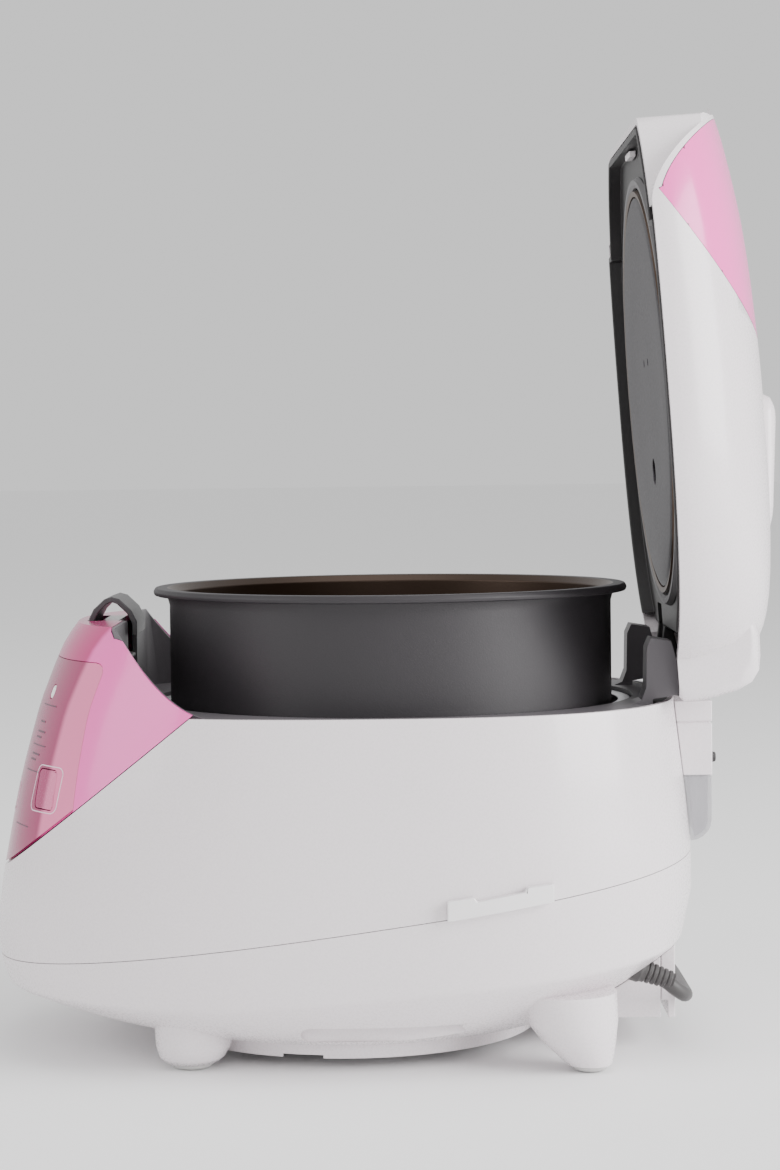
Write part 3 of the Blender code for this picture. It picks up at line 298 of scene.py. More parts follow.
def named_in_metres(name, obj, looks):
    """Names a piece drawn in millimetres, brings it to metres and gives it its materials."""
    obj.name = name
    obj.data.name = obj.name
    obj.data.transform(Matrix.Scale(MM, 4))
    obj.data.materials.clear()
    for look in looks:
        obj.data.materials.append(LOOKS[look])


def node(name, obj, bevel=0.45, looks=()):
    """Puts a fine piece in the place of its CAD node: metres, finish, soft edges, body."""
    chosen = [face.material_index for face in obj.data.polygons] if looks else []
    named_in_metres(name + "_fine", obj, (RELOOK.get(name, SLOT_OF[name]), *looks))
    for face, look in zip(obj.data.polygons, chosen):
        face.material_index = look
    bm = bmesh.new()
    bm.from_mesh(obj.data)
    bmesh.ops.remove_doubles(bm, verts=bm.verts, dist=0.00008 if name in LARGE else 0.00002)
    bmesh.ops.dissolve_degenerate(bm, edges=bm.edges, dist=0.00001)
    bm.to_mesh(obj.data)
    bm.free()
    if bevel:
        soft = obj.modifiers.new("soft edges", "BEVEL")
        soft.width = bevel * MM
        soft.segments = 2
        soft.limit_method = "ANGLE"
        soft.angle_limit = radians(40)
        soft.use_clamp_overlap = name in LARGE
        soft.miter_outer = "MITER_ARC"
    obj.data.shade_smooth()
    obj.data.set_sharp_from_angle(angle=radians(60.0 if bevel else 32.0))
    even = obj.modifiers.new("even shading", "WEIGHTED_NORMAL")
    even.keep_sharp = True
    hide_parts(name)
    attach(obj, BODY_OF[name])
    return obj


# ---- small tools
def smooth_table(table, at):
    """The columns of a table at a value of its first column, on a smooth curve."""
    keys = [row[0] for row in table]
    at = min(max(at, keys[0]), keys[-1])
    i = min(max(sum(key <= at for key in keys) - 1, 0), len(keys) - 2)
    low, high = table[i], table[i + 1]
    before, after = table[max(i - 1, 0)], table[min(i + 2, len(table) - 1)]
    span = high[0] - low[0]
    t = (at - low[0]) / span
    found = []
    for column in range(1, len(low)):
        slope_low = (high[column] - before[column]) / (high[0] - before[0]) * span
        slope_high = (after[column] - low[column]) / (after[0] - low[0]) * span
        found.append(
            low[column] * (1 + 2 * t) * (1 - t) ** 2
            + slope_low * t * (1 - t) ** 2
            + high[column] * t * t * (3 - 2 * t)
            + slope_high * t * t * (t - 1)
        )
    return found


def outline_point(turn, half_width, front, rear):
    """A point on the plan outline: a superellipse whose front half is longer than its rear half."""
    c, s = cos(turn), sin(turn)
    power = 2 / (FRONT_POWER if s < 0 else REAR_POWER)
    reach = front if s < 0 else rear
    x = half_width * copysign(abs(c) ** power, c)
    return x, reach * copysign(abs(s) ** power, s)


def turns(count):
    return [2 * pi * k / count for k in range(count)]


def wall_ring(z, inset=0):
    """The housing's outline at a height, moved inwards."""
    half_width, front, rear = (size - inset for size in smooth_table(STATIONS, z))
    return [(*outline_point(a, half_width, front, rear), z) for a in turns(OUTLINE_POINTS)]


def sloped_ring(height_at, inset=0):
    """The housing's outline where it meets a plane that slopes from front to rear."""
    ring = []
    for a in turns(OUTLINE_POINTS):
        y = 0
        for _ in range(8):
            sizes = (size - inset for size in smooth_table(STATIONS, height_at(y)))
            x, y = outline_point(a, *sizes)
        ring.append((x, y, height_at(y)))
    return ring


def parting_z(y):
    """Height of the seam between the upper and lower housings."""
    return 70.4 + 0.1405 * y


def crease_z(y):
    """Height of the edge where the wall turns under."""
    return max(39 + 0.0806 * y, 33)


def belt_z(y):
    """Height of the slanted line that the pink panel and the pink lid insert stop at."""
    return 84 + 0.806 * (y + 180.7)


def slide_curve(y):
    """Height of the control panel's swept side edge, from its top down to the deck."""
    u = min(max((y + 122) / 44, 0), 1)
    return DECK_Z + (CROWN_Z + 0.5 - DECK_Z) * (1 - u) ** 1.8


def slide_points(lift, steps=36):
    """The swept edge as (y, z) points from the deck up to the panel's top, raised by lift."""
    ys = [-78 - 44 * k / steps for k in range(steps + 1)]
    return [(y, slide_curve(y) + lift) for y in ys]


def arc(cy, cz, radius, start, end, steps):
    """Points on an arc in a plane, with its angles in degrees."""
    angles = [radians(start + (end - start) * k / steps) for k in range(steps + 1)]
    return [(cy + radius * cos(a), cz + radius * sin(a)) for a in angles]


def rounded_rect(cx, cy, half_x, half_y, radius, steps=7):
    corners = ((1, 1, 0), (-1, 1, 90), (-1, -1, 180), (1, -1, 270))
    points = []
    for sx, sy, start in corners:
        centre_x = cx + sx * (half_x - radius)
        centre_y = cy + sy * (half_y - radius)
        points += arc(centre_x, centre_y, radius, start, start + 90, steps)
    return points


# ---- solids
def solid(mesh_builder):
    """A scratch object from a function that fills a bmesh in millimetres."""
    bm = bmesh.new()
    mesh_builder(bm)
    bmesh.ops.recalc_face_normals(bm, faces=bm.faces)
    mesh = bpy.data.meshes.new("scratch")
    bm.to_mesh(mesh)
    bm.free()
    return placed("scratch", mesh)


def loft(rings):
    """A closed solid through rings of equal count, with flat ends."""

    def build(bm):
        rows = [[bm.verts.new(p) for p in ring] for ring in rings]
        for low, high in zip(rows, rows[1:]):
            for k in range(len(low)):
                j = (k + 1) % len(low)
                bm.faces.new((low[k], low[j], high[j], high[k]))
        bm.faces.new(rows[0][::-1])
        bm.faces.new(rows[-1])

    return solid(build)


def prism(points, low, high, axis="x"):
    """A flat outline pushed along an axis. Along x its points are (y, z), along y (x, z), along z (x, y)."""
    place = {
        "x": lambda p, d: (d, p[0], p[1]),
        "y": lambda p, d: (p[0], d, p[1]),
        "z": lambda p, d: (p[0], p[1], d),
    }[axis]
    return loft([[place(p, low) for p in points], [place(p, high) for p in points]])


def block(low, high):
    x0, y0, z0 = low
    x1, y1, z1 = high
    return prism([(x0, y0), (x1, y0), (x1, y1), (x0, y1)], z0, z1, "z")


def slab(y_low, y_high, z_low, z_high):
    """A block wider than the cooker."""
    return block((-FAR, y_low, z_low), (FAR, y_high, z_high))


def disc_ring(radius, z, centre=(0, 0), steps=TURN_STEPS):
    return [(centre[0] + radius * cos(a), centre[1] + radius * sin(a), z) for a in turns(steps)]


def turned(profile, centre=(0, 0), steps=TURN_STEPS):
    """A solid turned about a vertical axis, from (radius, z) points that run from end to end."""
    return loft([disc_ring(r, z, centre, steps) for r, z in profile])


def turned_ring(profile, centre=(0, 0), steps=TURN_STEPS):
    """A ring turned about a vertical axis from a closed (radius, z) section."""

    def build(bm):
        rows = [[bm.verts.new(p) for p in disc_ring(r, z, centre, steps)] for r, z in profile]
        for low, high in zip(rows, rows[1:] + rows[:1]):
            for k in range(steps):
                j = (k + 1) % steps
                bm.faces.new((low[k], low[j], high[j], high[k]))

    return solid(build)


def rod(start, end, radius, steps=32, end_radius=None):
    """A round bar, or a cone where the end radius differs."""
    start, end = Vector(start), Vector(end)
    along = end - start
    turn = along.to_track_quat("Z", "Y").to_matrix()
    rings = []
    for at, r in ((start, radius), (end, radius if end_radius is None else end_radius)):
        rings.append([at + turn @ Vector((r * cos(a), r * sin(a), 0)) for a in turns(steps)])
    return loft(rings)


def combine(target, others, operation):
    """Joins, cuts or intersects with the other solids, which are used up."""
    for other in others:
        modifier = target.modifiers.new("combine", "BOOLEAN")
        modifier.operation = operation
        modifier.object = other
        modifier.solver = "EXACT"
        bpy.context.view_layer.update()
        graph = bpy.context.evaluated_depsgraph_get()
        mesh = bpy.data.meshes.new_from_object(target.evaluated_get(graph))
        target.modifiers.clear()
        target.data = mesh
        bpy.data.objects.remove(other)
    return target


def join(target, *others):
    return combine(target, others, "UNION")


def cut(target, *others):
    return combine(target, others, "DIFFERENCE")


def within(target, *others):
    return combine(target, others, "INTERSECT")


# ---- shared forms
def housing_form(inset, low=28, high=CROWN_Z):
    """The housing's whole outer form between two heights."""
    levels = [z for z in range(31, 230, 6) if low + 1 < z < high - 1]
    return loft([wall_ring(z, inset) for z in [low, *levels, high]])


def cavity_outline(inset):
    """Plan of the well inside the crown that the lid's nose drops into."""
    half_width, front = 119 - inset, 143 - inset
    flat_y = CROWN_INNER_Y + inset
    points = []
    for a in turns(OUTLINE_POINTS):
        x, y = outline_point(a, half_width, front, 60)
        points.append((x, max(y, flat_y)))
    return points


def side_view(points):
    """A block that keeps only what lies inside a side-view outline."""
    return prism(points, -FAR, FAR)


# ---- lower housing
def underside_ring(share, inset=0):
    """A ring part way from the crease down to the round base."""
    crease = sloped_ring(lambda y: crease_z(y) - 1.5, 1.5 + inset)
    ring = []
    for (x, y, z), a in zip(crease, turns(OUTLINE_POINTS)):
        low_x = (BASE_CIRCLE_R - inset) * cos(a)
        low_y = BASE_CIRCLE_Y + (BASE_CIRCLE_R - inset) * sin(a)
        fall = 1 - (1 - share) ** 1.6
        ring.append((x + (low_x - x) * share, y + (low_y - y) * share, z + (BASE_CIRCLE_Z - z) * fall))
    return ring


def base_form(inset, top_drop):
    """The lower housing as a solid: seam, wall, crease and the sloping underside."""
    lift = inset  # the inner form's floor stands above the outer one's
    rings = [sloped_ring(lambda y: parting_z(y) - top_drop, inset)]
    rings.append(sloped_ring(lambda y: (parting_z(y) + crease_z(y) + 3) / 2, inset))
    rings.append(sloped_ring(lambda y: crease_z(y) + 1, inset + 0.4))
    for share in [k / 12 for k in range(13)]:
        rings.append([(x, y, z + lift) for x, y, z in underside_ring(share, inset)])
    return loft(rings)


def leg(rings, side):
    """A moulded leg through circles given as (x, y, z, radius)."""
    return loft([disc_ring(r, z, (side * x, y), 20) for x, y, z, r in rings])


FRONT_LEG = (
    (75, -90.8, 2.9, 11.6), (75, -90.8, 5.5, 14.8), (75, -90.2, 10, 16.8), (75, -89, 24, 18.8),
)
REAR_LEG = (
    (90.5, 85.6, 2.9, 9.6), (90.2, 84.2, 6, 12), (89.5, 81, 13, 16.4),
    (88.5, 78, 22, 20.4), (87, 75, 35, 23),
)
GLAND_AT = Vector((58, 110, 38.6))
CORD_OUT = Vector((0, 0.94, -0.341))
BASE_HOLE_R = 76


def finger_recess(side, grow):
    """A long round-ended recess in the underside, for the fingers that lift the cooker."""
    outline = rounded_rect(-5.5, 19.4, 36 + grow, 4.2 + grow, 4.1 + grow, 4)
    x_low, x_high = 96 - grow, 135
    return prism(outline, *sorted((side * x_low, side * x_high)))


def make_base():
    shell = base_form(0, 0.15)
    foot = [(BASE_CIRCLE_R - 1, BASE_CIRCLE_Z + 1.5), (BASE_CIRCLE_R - 1, BASE_CIRCLE_Z - 2.5),
            (BASE_CIRCLE_R - 2, BASE_FOOT_Z)]
    join(shell, turned(foot, BASE_CENTRE, OUTLINE_POINTS))
    cut(shell, base_form(WALL, -8))
    for side in (-1, 1):
        pocket = within(finger_recess(side, 1.8), base_form(0.6, 0.6))
        join(shell, pocket)
        cut(shell, finger_recess(side, 0))
        join(shell, leg(FRONT_LEG, side), leg(REAR_LEG, side))
        notch = block((side * 80 - 20, -50, 2), (side * 80 + 20, -32, 7))
        cut(shell, notch)
    cut(shell, turned([(BASE_HOLE_R, 0), (BASE_HOLE_R, 25)], BASE_CENTRE))
    gland_hole = rod(GLAND_AT - CORD_OUT * 16, GLAND_AT + CORD_OUT * 16, 6.6)
    cut(shell, gland_hole)
    node("base_shell", shell)

    cover_r = BASE_HOLE_R - 0.4
    cover = turned([(cover_r, 11.5), (cover_r, 7.5), (cover_r - 1.5, 6.2)], BASE_CENTRE)
    cut(cover, turned([(cover_r - 4, 20), (cover_r - 4, 9)], BASE_CENTRE))
    screw_places = []
    for k in range(3):
        a = radians(90 + 120 * k)
        screw_places.append((62 * cos(a), BASE_CIRCLE_Y + 62 * sin(a)))
    for place in screw_places:
        cut(cover, turned([(2.3, 20), (2.3, 5)], place, 12))
    node("bottom_cover", cover)
    for k, place in enumerate(screw_places):
        screw = turned([(1.8, 15), (1.8, 5.9), (3.6, 5.9), (3.6, 4.6), (2.6, 4)], place, 12)
        node(f"cover_screw_{k + 1}", screw)

    for side, hand in SIDES:
        for legs, end, radius in ((FRONT_LEG, "front", 9.6), (REAR_LEG, "rear", 8.2)):
            x, y = side * legs[0][0], legs[0][1]
            pad = turned([(radius, 2.6), (radius - 1, 0.9), (radius - 3.4, 0)], (x, y), 16)
            node(f"foot_pad_{end}_{hand}", pad)


# ---- upper housing
def make_body_shell():
    shell = cut(housing_form(0), housing_form(WALL, 20, CROWN_Z + 5))
    front_y = -FAR / 2
    deck_y = -180.7 + (DECK_Z - 84) / 0.806
    seam = [(y, parting_z(y) + 0.15) for y in (front_y, FAR / 2)]
    keep = side_view([*seam, (FAR / 2, DECK_Z), (deck_y, DECK_Z), (front_y, belt_z(front_y))])
    node("body_shell", within(shell, keep))


GRIP_EDGE = (
    (22.7, 73.4), (68.6, 80.2), (68.6, 88), (57, 87), (55.6, 85),
    (35.6, 81.6), (34.2, 83.6), (22.7, 82),
)


def make_side_grips():
    for side, hand in SIDES:
        grip = cut(housing_form(-4.6, 60, 100), housing_form(-GAP, 55, 105))
        half = prism(GRIP_EDGE, *sorted((side * 60, side * FAR)))
        node(f"side_grip_{hand}", within(grip, half))


# ---- control panel
OVERLAY_TOP = 181.5
FILM = 1           # thickness of the control film
ARCH_HALF = 21     # half width of the lid release arch

# name, side position, height, half width and half height of each key
KEYS = (
    ("key_cook", 71, 125, 8.4, 8.8),
    ("key_cancel", -71, 125, 8.4, 8.8),
    ("key_menu", 0, 118, 13, 6),
    ("key_time_down", -27, 118, 8, 6),
    ("key_time_up", 27, 118, 8, 6),
)


def overlay_region(grow):
    """Front-view outline of the control film, wider at its foot than at its head."""
    points = [(-84 - grow, OVERLAY_TOP - 6), (-94 - grow, 60), (94 + grow, 60)]
    points += arc(78, OVERLAY_TOP - 6, 6 + grow, 0, 90, 4)
    points += arc(-78, OVERLAY_TOP - 6, 6 + grow, 90, 170, 4)
    return prism(points, -FAR, -90, "y")


def panel_edge(drop, trim):
    """Side-view outline of the pink panel: belt line, swept edge and flat top."""
    front_y = -FAR / 2
    low, high = -110, -78
    for _ in range(30):
        meet_y = (low + high) / 2
        if slide_curve(meet_y) - drop > belt_z(meet_y) + trim:
            low = meet_y
        else:
            high = meet_y
    edge = [(y, z) for y, z in slide_points(-drop) if y < meet_y - 0.5]
    meet = (meet_y, belt_z(meet_y) + trim)
    return [(front_y, belt_z(front_y) + trim), meet, *edge, (front_y, CROWN_Z + 0.5 - drop)]


def skin_frame(x, z):
    """Point on the front skin at a side position and height, with its outward direction."""
    half_width, front, _ = smooth_table(STATIONS, z)
    y = -front * (1 - (abs(x) / half_width) ** FRONT_POWER) ** (1 / FRONT_POWER)
    above = smooth_table(STATIONS, z + 1)[1]
    slope = FRONT_POWER * (abs(x) / half_width) ** (FRONT_POWER - 1) / half_width
    back = -FRONT_POWER * (abs(y) / front) ** (FRONT_POWER - 1) / front
    up = FRONT_POWER * (abs(y) / front) ** FRONT_POWER / front * (front - above)
    normal = Vector((copysign(slope, x) if x else 0, back, up))
    return Vector((x, y, z)), normal.normalized()


def key_block(x, z, half_x, half_z, grow):
    """A round-cornered bar standing square to the skin, as a key's sides."""
    at, out = skin_frame(x, z)
    turn = out.to_track_quat("Z", "Y").to_matrix().to_4x4()
    bar = prism(rounded_rect(0, 0, half_x + grow, half_z + grow, 2.5 + grow), -9, 9, "z")
    bar.data.transform(Matrix.Translation(at) @ turn)
    return bar


LCD = (0, 150, 27, 13)
LAMP = (51, 167, 2.6, 3.2)


def make_front_panel():
    panel = cut(housing_form(0), housing_form(WALL, 20, CROWN_Z - WALL))
    within(panel, side_view(panel_edge(0, 0.5)))
    cut(panel, prism(cavity_outline(-2.5), 100, 220, "z"))
    groove = cut(housing_form(-3, 60, 186), housing_form(FILM + GAP, 55, 190))
    cut(panel, within(groove, overlay_region(0.35)))
    film = cut(housing_form(0, 60, 186), housing_form(FILM, 55, 190))
    within(film, overlay_region(0), side_view(panel_edge(0, 1.6)))
    for x, z, half_x, half_z in (*(key[1:] for key in KEYS), LCD, LAMP):
        cut(panel, key_block(x, z, half_x, half_z, 0.4))
        cut(film, key_block(x, z, half_x, half_z, 0.4))
    for y_low, y_high in ((-140.4, -133.6), (-126, -115)):
        slot = block((-ARCH_HALF - 0.5, y_low, 185), (ARCH_HALF + 0.5, y_high, 210))
        cut(panel, slot)
    node("front_panel", panel)
    node("control_film", film)

    for name, x, z, half_x, half_z in KEYS:
        key = cut(housing_form(0, 100, 140), housing_form(3.2, 95, 145))
        within(key, key_block(x, z, half_x, half_z, 0))
        node(name, key)
    for name, (x, z, half_x, half_z) in (("lcd_window", LCD), ("status_lamp", LAMP)):
        window = cut(housing_form(0, 130, 185), housing_form(2.8, 125, 190))
        node(name, within(window, key_block(x, z, half_x, half_z, 0)))


def make_release():
    """The arch over the crown that is pressed to free the lid, its hook and the hook's spring."""
    outer = [(-139.6, 190), (-139.6, 198), (-137.5, 202.2), (-132.5, 206.8), (-129, 208),
             (-125.5, 207), (-120, 201.8), (-117.4, 196.5), (-117.4, 190)]
    inner = [(-119.8, 190), (-119.8, 195.8), (-122, 200.2), (-126.6, 204.6), (-129, 205.5),
             (-131.4, 204.6), (-135.4, 200.6), (-137.2, 197.2), (-137.2, 190)]
    arch = prism(outer + inner, -ARCH_HALF, ARCH_HALF)
    node("release_arch", arch)

    profile = [(-128.6, 166), (-125.6, 166), (-124.6, 176), (-121, 178.6), (-121, 180),
               (-127.6, 182)]
    hook = prism(profile, -9, 9)
    join(hook, rod((-14, -127, 167), (14, -127, 167), 2.4))
    node("latch_hook", hook)
    spring = helix((-6, -131.2, 174), Vector((0, -1, 0)), 2.6, 0.45, 8, 4)
    node("latch_spring", spring)


def helix(start, along, radius, wire, length, coils):
    """A coil spring as a closed tube."""
    start, along = Vector(start), Vector(along).normalized()
    side = along.orthogonal().normalized()
    up = along.cross(side)
    per_coil = 8
    count = coils * per_coil
    rings = []
    for k in range(count + 1):
        a = 2 * pi * k / per_coil
        centre = start + along * (length * k / count) + (side * cos(a) + up * sin(a)) * radius
        rise = along * (length / coils / (2 * pi))
        run = (rise + (up * cos(a) - side * sin(a)) * radius).normalized()
        out = (side * cos(a) + up * sin(a)).normalized()
        cross = run.cross(out)
        rings.append([centre + (out * cos(b) + cross * sin(b)) * wire for b in turns(5)])
    return loft(rings)


# ---- deck
def hub(x_low, x_high, radius):
    return rod((x_low, HINGE_Y, HINGE_Z), (x_high, HINGE_Y, HINGE_Z), radius, 16)


PILLARS = ((42.2, 59.8), (-59.8, -42.2))
HINGE_ARMS = ((60.6, 65.2), (33, 41.2), (-41.2, -33), (-65.2, -60.6))


def make_deck():
    deck = loft([wall_ring(152, WALL + GAP), wall_ring(159, WALL + GAP)])
    cut(deck, cut(slab(-FAR, -88, 140, 165), prism(cavity_outline(-2), 130, 170, "z")))
    crown = prism(cavity_outline(-2.2), 151, CROWN_Z + 3, "z")
    cut(crown, prism(cavity_outline(0), 140, CROWN_Z + 9, "z"))
    crown_edge = [(-FAR, 153), (-83, 153), *slide_points(-0.6)[1:], (-FAR, CROWN_Z - 0.5)]
    join(deck, within(crown, side_view(crown_edge)))
    cut(deck, block((-ARCH_HALF - 1, -130, 164), (ARCH_HALF + 1, -115, 215)))
    well = turned([(108.8, 140), (108.8, 154.5), (113.2, 154.5), (113.2, 165)], steps=OUTLINE_POINTS)
    cut(deck, well)
    for low, high in PILLARS:
        pillar = prism(
            [(106, 153), (117.5, 153), (117.5, 161), (132, 163.2), (134, 169), (129.5, 174),
             (126, 187), (117, 188.5), (115, 184), (114.6, 166), (112.5, 160.5), (106, 158)],
            low, high,
        )
        join(deck, pillar, hub(low, high, HUB_R))
    cut(deck, hub(-80, 80, PIN_R + 0.35))
    node("top_deck", deck)

    node("hinge_pin", hub(-65.8, 65.8, PIN_R))
    for side, hand in SIDES:
        spring = helix((side * 8, HINGE_Y, HINGE_Z), (side, 0, 0), 3, 0.55, 20, 7)
        node(f"hinge_spring_{hand}", spring)


# ---- rear of the housing
DEW_SEAM_Z = 123.4   # underside of the dew collector's housing
BUMPER_Z = 128


def make_rear():
    bracket = block((-34, 120, DEW_SEAM_Z), (34, 147.1, 157.6))
    cut(bracket, block((-31, 100, 110), (31, 144.3, 154.6)))
    cut(bracket, block((-24, 136, 140), (24, 144.3, 170)))
    cut(bracket, housing_form(-GAP, 100, 170))
    for x_low, y_low, x_high in ((-40, 146.3, 40), (33.2, 100, 40), (-40, 100, -33.2)):
        cut(bracket, block((x_low, y_low, 147.4), (x_high, 160, 148.2)))
    cut(bracket, rod((0, 140, BUMPER_Z), (0, 160, BUMPER_Z), 1.5))
    node("dew_bracket", bracket)

    bumper = rod((0, 147.4, BUMPER_Z), (0, 152.6, BUMPER_Z), 3.3, 16, 2.2)
    join(bumper, rod((0, 143.5, BUMPER_Z), (0, 149, BUMPER_Z), 1.2))
    node("rear_bumper", bumper)

    def cup_outline(inset):
        bottom = arc(136.9, 103, 10 - inset, 180, 360, 10)
        top = DEW_SEAM_Z - 0.4 if inset == 0 else 135
        return [(126.9 + inset, top), *bottom, (146.9 - inset, top)]

    cup = prism(cup_outline(0), -33, 33)
    cut(cup, housing_form(-GAP, 70, 170))
    hollow = prism(cup_outline(1.6), -31.4, 31.4)
    cut(hollow, housing_form(-1.9, 70, 160))
    node("dew_collector", cut(cup, hollow))

    skirt = block((-42, 100, 13), (42, 121.8, 58))
    cut(skirt, base_form(-0.5, 0))
    node("rear_skirt", skirt)
    spacer = block((-42, 122.1, 21), (42, 126, 58))
    join(spacer, block((-42, 125.1, 13), (42, 128.4, 58)))
    cut(spacer, base_form(-0.5, 0))
    node("rear_spacer", spacer)


# ---- lid, drawn closed and then turned open
def insert_z(y):
    """Height of the pink lid insert's straight lower edge."""
    return 164.5 + 0.672 * (y + 83.7)


def lid_top(y, x=0):
    return smooth_table(LID_CROWN, y)[0] - LID_CAMBER * (x / 125.5) ** 2


def dome(inset, low=150):
    """The lid's outer form: a steep wall that rounds over into a nearly flat crown."""
    sizes = (125.5 - inset, 163.3 - inset, LID_REAR - inset)
    rings = [[(*outline_point(a, *sizes), low) for a in turns(OUTLINE_POINTS)]]
    for share in DOME_SHARES:
        ring = []
        for a in turns(OUTLINE_POINTS):
            x, y = outline_point(a, *sizes)
            s = sin(a)
            power = 5 if s < 0 else 5 + 8 * s * s
            rise = math.sqrt(max(1 - share**power, 0))
            top = lid_top(y * share, x * share) - inset
            ring.append((x * share, y * share, LID_RIM_Z + (top - LID_RIM_Z) * rise))
        rings.append(ring)
    return loft(rings)


def lid_edge(shrink, low):
    """Side-view outline of what the lid keeps in front of the deck and over the crown."""
    nose_y = -132 + shrink
    edge = [(y, z + shrink) for y, z in slide_points(0.8)]
    nose = [(nose_y, 240), (nose_y, CROWN_Z + 1.3 + shrink)]
    return [(FAR / 2, low), (FAR / 2, 240), *nose, *edge[::-1], (-77, low)]


def lobe(shrink, low):
    """The bulge behind the lid that covers the hinge."""
    outer = [(112, 198.4), (122, 198), (128, 197), (133, 193.6), (136.4, 187), (138.8, 176),
             (139.6, 168), (139.6, 162.8), (137.4, 160.6)]
    profile = [(96, low), (96, 195 - shrink), *[(y - shrink, z - shrink) for y, z in outer],
               (137.4 - shrink, low)]
    half = 72 - shrink
    rings = []
    ends = ((half, 5), (half - 1.5, 2.2), (half - 5, 0))
    for x, pull in (*((-x, pull) for x, pull in ends), *ends[::-1]):
        squeezed = []
        for y, z in profile:
            squeezed.append((x, y - (pull if y > 110 else 0), z - (pull if z > 190 else 0)))
        rings.append(squeezed)
    return loft(rings)


def lid_solid(inset):
    """The lid's form, moved inwards. The outer one stops at the rim, an inner one runs out below it."""
    low = 150 if inset == 0 else 140
    nose = prism(cavity_outline(1.5 + inset), low - 6, 230, "z")
    within(nose, slab(-FAR, -60, 100, 300))
    whole = within(dome(inset, low), join(side_view(lid_edge(inset, low - 9)), nose))
    join(whole, lobe(min(inset, LOBE_WALL), low - 3))
    if inset == 0:
        within(whole, slab(-FAR, FAR, LID_RIM_Z, 300))
    return whole


def width_at(y, half_width, front):
    """Half width of a superellipse's front half at a depth."""
    return half_width * (1 - (abs(y) / front) ** FRONT_POWER) ** (1 / FRONT_POWER)


def frame_outline(inset):
    """Plan of the lid's underside: wide over the deck, narrower where it drops into the crown."""
    step_y = -76 + inset
    sizes = (125.5 - inset, 163.3 - inset, LID_REAR - inset)
    wide = [p for p in (outline_point(a, *sizes) for a in turns(OUTLINE_POINTS)) if p[1] > step_y + 3]
    nose = [p for p in cavity_outline(1.5 + inset) if p[1] < step_y - 3]
    for sign in (-1, 1):
        wide.append((sign * width_at(step_y, sizes[0], sizes[1]), step_y))
        nose.append((sign * width_at(step_y - 0.5, 117.5 - inset, 141.5 - inset), step_y - 0.5))
    wide.sort(key=lambda p: math.atan2(p[0], p[1]))
    nose.sort(key=lambda p: math.atan2(p[0], p[1]) % (2 * pi))
    return wide + nose


VENT_CENTRE_Y = 37
VENT_CENTRE = (0, VENT_CENTRE_Y)


def vent_outline(grow):
    return rounded_rect(0, VENT_CENTRE_Y, 24 + grow, 32 + grow, 12 + grow, 4)


def make_lid():
    shell = cut(lid_solid(0), lid_solid(LID_WALL))
    arch_notch = block((-ARCH_HALF - 2.5, -140, 186), (ARCH_HALF + 2.5, -115, 240))
    cut(shell, arch_notch)

    def insert(depth, trim):
        skin = cut(dome(-2), dome(depth))
        region = [(y, z + 3.6 - trim) for y, z in slide_points(0.8)]
        y_high = -12
        start = (-84.5 - trim, insert_z(-84.5) - trim)
        outline = [start, (y_high, insert_z(y_high) - trim), (y_high, 240), (-129 - trim, 240),
                   (-129 - trim, CROWN_Z + 4.6 - trim), *[p for p in region[::-1] if p[0] < -85]]
        half = ARCH_HALF + 5 - trim
        gap = block((-half, -145, 150), (half, -112.5 - trim, 240))
        return cut(within(skin, side_view(outline)), gap)

    cut(shell, insert(1.9, 0.35))
    cover = within(insert(1.2, 0), dome(0))
    vent_hole = prism(rounded_rect(0, VENT_CENTRE_Y, 9, 9, 8.9, 6), 190, 240, "z")
    cut(shell, vent_hole)

    frame = prism(frame_outline(4.8), 166, 168.5, "z")
    within(frame, slab(-FAR, 112, 100, 200))
    lip = cut(prism(frame_outline(4.3), 159.8, 166.8, "z"), prism(frame_outline(6.8), 150, 170, "z"))
    within(lip, slab(-FAR, 108, 100, 200))
    join(frame, lip)
    cut(frame, turned([(94.8, 150), (94.8, 175)], steps=OUTLINE_POINTS))
    for low, high in PILLARS:
        cut(frame, block((low - 0.4, 102, 150), (high + 0.4, 130, 175)))
    for low, high in HINGE_ARMS:
        profile = [(100, 166.4), (112, 166.2), (128, 163.2), (133, 163), (134, 169),
                   (124, 171.5), (100, 168.3)]
        arm = prism(profile, low, high)
        join(frame, arm, hub(low, high, HUB_R))
    cut(frame, hub(-80, 80, PIN_R + 0.35))

    heater = turned([(94.2, 166.4), (94.2, 167.6)], steps=OUTLINE_POINTS)
    cut(heater, turned([(9.5, 160), (9.5, 170)], VENT_CENTRE, 24))
    section = [(95.4, 165.6), (95.4, 164.2), (97, 163.2), (99, 163.2), (100.2, 165.6)]
    seal = turned_ring(section, steps=OUTLINE_POINTS)
    gasket = turned_ring([(91.4, 165.9), (91.4, 163.2), (93.8, 162.8), (94.4, 165.9)], steps=OUTLINE_POINTS)
    catch = block((-10, -112.2, 162.3), (10, -109.4, 165.6))
    tube = turned_ring([(7.2, 168.2), (8.6, 168.2), (8.6, 210.8), (7.2, 210.8)], VENT_CENTRE, 24)
    return [("lid_shell", shell), ("lid_insert", cover), ("lid_frame", frame), ("lid_heater_plate", heater),
            ("lid_seal", seal), ("plate_gasket", gasket), ("lid_catch", catch), ("steam_tube", tube)]


def make_inner_plate():
    profile = [(91, 164.8), (91, 163.6), (88, 162.6), (60, 163.4), (30, 163.6)]
    plate = turned(profile, steps=OUTLINE_POINTS)
    cut(plate, turned([(6, 150), (6, 175)], VENT_CENTRE, 24))
    for x in (-1, 1):
        cut(plate, turned([(1.6, 150), (1.6, 175)], (x * 9, -14), 12))
    return [("inner_lid_plate", plate)]


